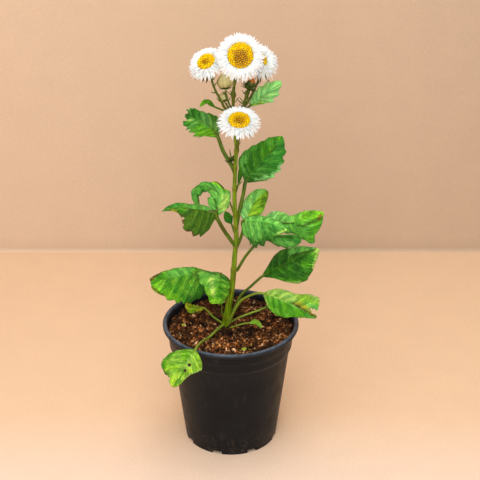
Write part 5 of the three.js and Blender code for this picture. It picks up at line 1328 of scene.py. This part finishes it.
# Painted shade: the heart under the florets shows only in their gaps, dark in the shut middle and lighter
# towards the rim.
dark = mixed(shade, (0.12, 0.055, 0.001), (0.26, 0.12, 0.002))
light = mixed(shade, (0.4, 0.2, 0.001), (0.65, 0.38, 0.002))
dress(tree, base_color=mixed(between(painted(tree, "ripe"), 0.4, 0.8), dark, light))

florets = floret_tree()
blunt = [0.45, 0.7, 0.88, 0.98, 0.98, 0.86, 0.56, 0.12]
bends = ((-0.1, 0.3), (0.02, -0.5), (0.08, 0.5), (-0.04, -0.2), (0.14, 0.1))
petals = variants("petals", [strap(blunt, 0.06, bend, 0.035, sway) for bend, sway in bends])
buttons = variants("buttons", [
    floret([(0, -0.6), (0.4, -0.6), (0.66, 0.2), (0.55, 0.65), (0, 0.95)], 6, 0),
    floret([(0, -0.6), (0.3, -0.6), (0.4, 0.3), (0.85, 1.0), (0.3, 0.75), (0, 0.6)], 10, 5),
])
for name, (at, faces, r, disc_share, seed, sag, riper) in HEADS.items():
    disc = r * disc_share
    profile = [(0, -0.1 * r), (0.4 * r, -0.1 * r), (disc, -0.02 * r), (disc, 0.03 * r), (0, 0.05 * r)]
    core = new_mesh("core", *turned(profile, 32), cup_green)
    rays = grown(rows_round, core, pieces=petals, count=RAYS_IN_LAYER, rows=RAY_LAYERS,
                 foot_first=0.9 * disc * MM, foot_last=0.97 * disc * MM, height_first=-0.02 * r * MM,
                 height_last=0.1 * r * MM, rise_first=-0.1, rise_last=0.55,
                 length_first=(1.02 * r - 0.9 * disc) * MM, length_last=0.42 * (r - 0.55 * disc) * MM,
                 width_first=RAY_WIDTH * r * MM, width_last=RAY_WIDTH * 0.8 * r * MM, uneven_rise=0.08,
                 uneven_length=0.08, uneven_turn=0.4, uneven_roll=0.25, seed=seed, finish=petal_white)
    ray_mesh = joined("rays", [core, rays])
    ray_mesh.transform(stand(at, faces))
    places = np.empty(len(ray_mesh.vertices) * 3)
    ray_mesh.vertices.foreach_get("co", places)
    places = places.reshape(-1, 3)
    away = np.linalg.norm(places - np.array(at) * MM, axis=1) / (r * MM)
    places[:, 2] -= sag * MM * away**2
    ray_mesh.vertices.foreach_set("co", places.ravel())
    ray_piece = placed(f"{name}_petals", ray_mesh)
    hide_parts(f"rays_{name}")

    foot, shoulder, rise = DISC_FOOT * r, DISC_SHOULDER * r, DISC_RISE * r
    turns = [k * math.pi / 16 for k in range(8, 0, -1)]
    dome = [(disc * math.sin(turn), shoulder - HEART_BELOW + rise * math.cos(turn)) for turn in turns]
    points, dome_faces = turned([(0, foot), (disc, foot), *dome, (0, shoulder - HEART_BELOW + rise)], 32)
    ripe = np.hypot(points[:, 0], points[:, 1] + YOUNG_BELOW * disc) / disc + riper
    heart = new_mesh("heart", points, dome_faces, disc_heart, ripe=ripe)
    knobs = grown(florets, heart, pieces=buttons, count=round(math.pi * (disc / FLORET_PITCH) ** 2),
                  radius=disc * 0.97 * MM, shoulder=shoulder * MM, rise=rise * MM,
                  size=FLORET_SIZE * FLORET_PITCH * MM, open_from=OPEN_FROM, young_below=YOUNG_BELOW,
                  riper=riper, seed=seed, finish=floret_gold)
    disc_mesh = joined("disc", [heart, knobs])
    disc_mesh.transform(stand(at, faces))
    disc_piece = placed(f"{name}_florets", disc_mesh)
    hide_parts(f"disc_{name}")
    for thing in (ray_piece, disc_piece):
        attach(thing, "root")
drop(petals, buttons)

# Buds. Three young heads behind the open ones: two still shut, pale and egg-shaped, and a small
# one that shows orange petal tips. Their petals lie folded over each other in two layers.
EGG_WIDE, EGG_TALL = 0.86, 0.94              # the heart in the folded petals, as shares of the bud
bud_cream, tree = finish("bud cream", roughness=0.6, subsurface_weight=0.15, subsurface_scale=0.001)
dress(tree, base_color=mixed(painted(tree, "reach"), (0.62, 0.55, 0.2), (0.85, 0.7, 0.34)))
relief(tree, speckle(tree, 1200, 3), 0.0001)
bud_flame, tree = finish("bud orange", roughness=0.6)
tip = between(painted(tree, "reach"), 0.6, 0.85)
dress(tree, base_color=mixed(tip, (0.06, 0.1, 0.01), (0.7, 0.22, 0.03)))

half_shut = [0.5, 0.85, 1.0, 0.95, 0.7, 0.35]
folded = variants("folded", [strap(half_shut, -0.24, 0.3, -0.05, 0.05 * k, 0.03) for k in range(3)])
for name, (at, faces, radius, length, _, _) in BUDS.items():
    colour = bud_flame if name == "orange" else bud_cream
    egg = [(radius * math.sin(math.pi * (0.3 + 0.7 * k / 10)) * EGG_WIDE, length * EGG_TALL * k / 10)
           for k in range(10)]
    points, egg_faces = turned([(0, 0), *egg, (0, length * EGG_TALL)], 24)
    heart = new_mesh("heart", points, egg_faces, colour, reach=np.full(len(points), 0.6))
    scales = grown(rows_round, heart, pieces=folded, count=9, rows=2, foot_first=radius * 0.78 * MM,
                   foot_last=radius * 0.68 * MM, height_first=0.0, height_last=0.0, rise_first=1.5,
                   rise_last=1.5, length_first=length * 0.9 * MM, length_last=length * 0.98 * MM,
                   width_first=radius * 0.75 * MM, width_last=radius * 0.75 * MM, uneven_rise=0.05,
                   uneven_length=0.04, seed=5, finish=colour)
    bud_mesh = joined("bud", [heart, scales])
    bud_mesh.transform(stand(at, faces))
    bud_piece = placed(f"{name}_bud", bud_mesh)
    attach(bud_piece, "root")
    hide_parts(f"bud_{name}")
    "bud_orange" if name == "orange" else "bud_petal"
drop(folded)

low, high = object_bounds()
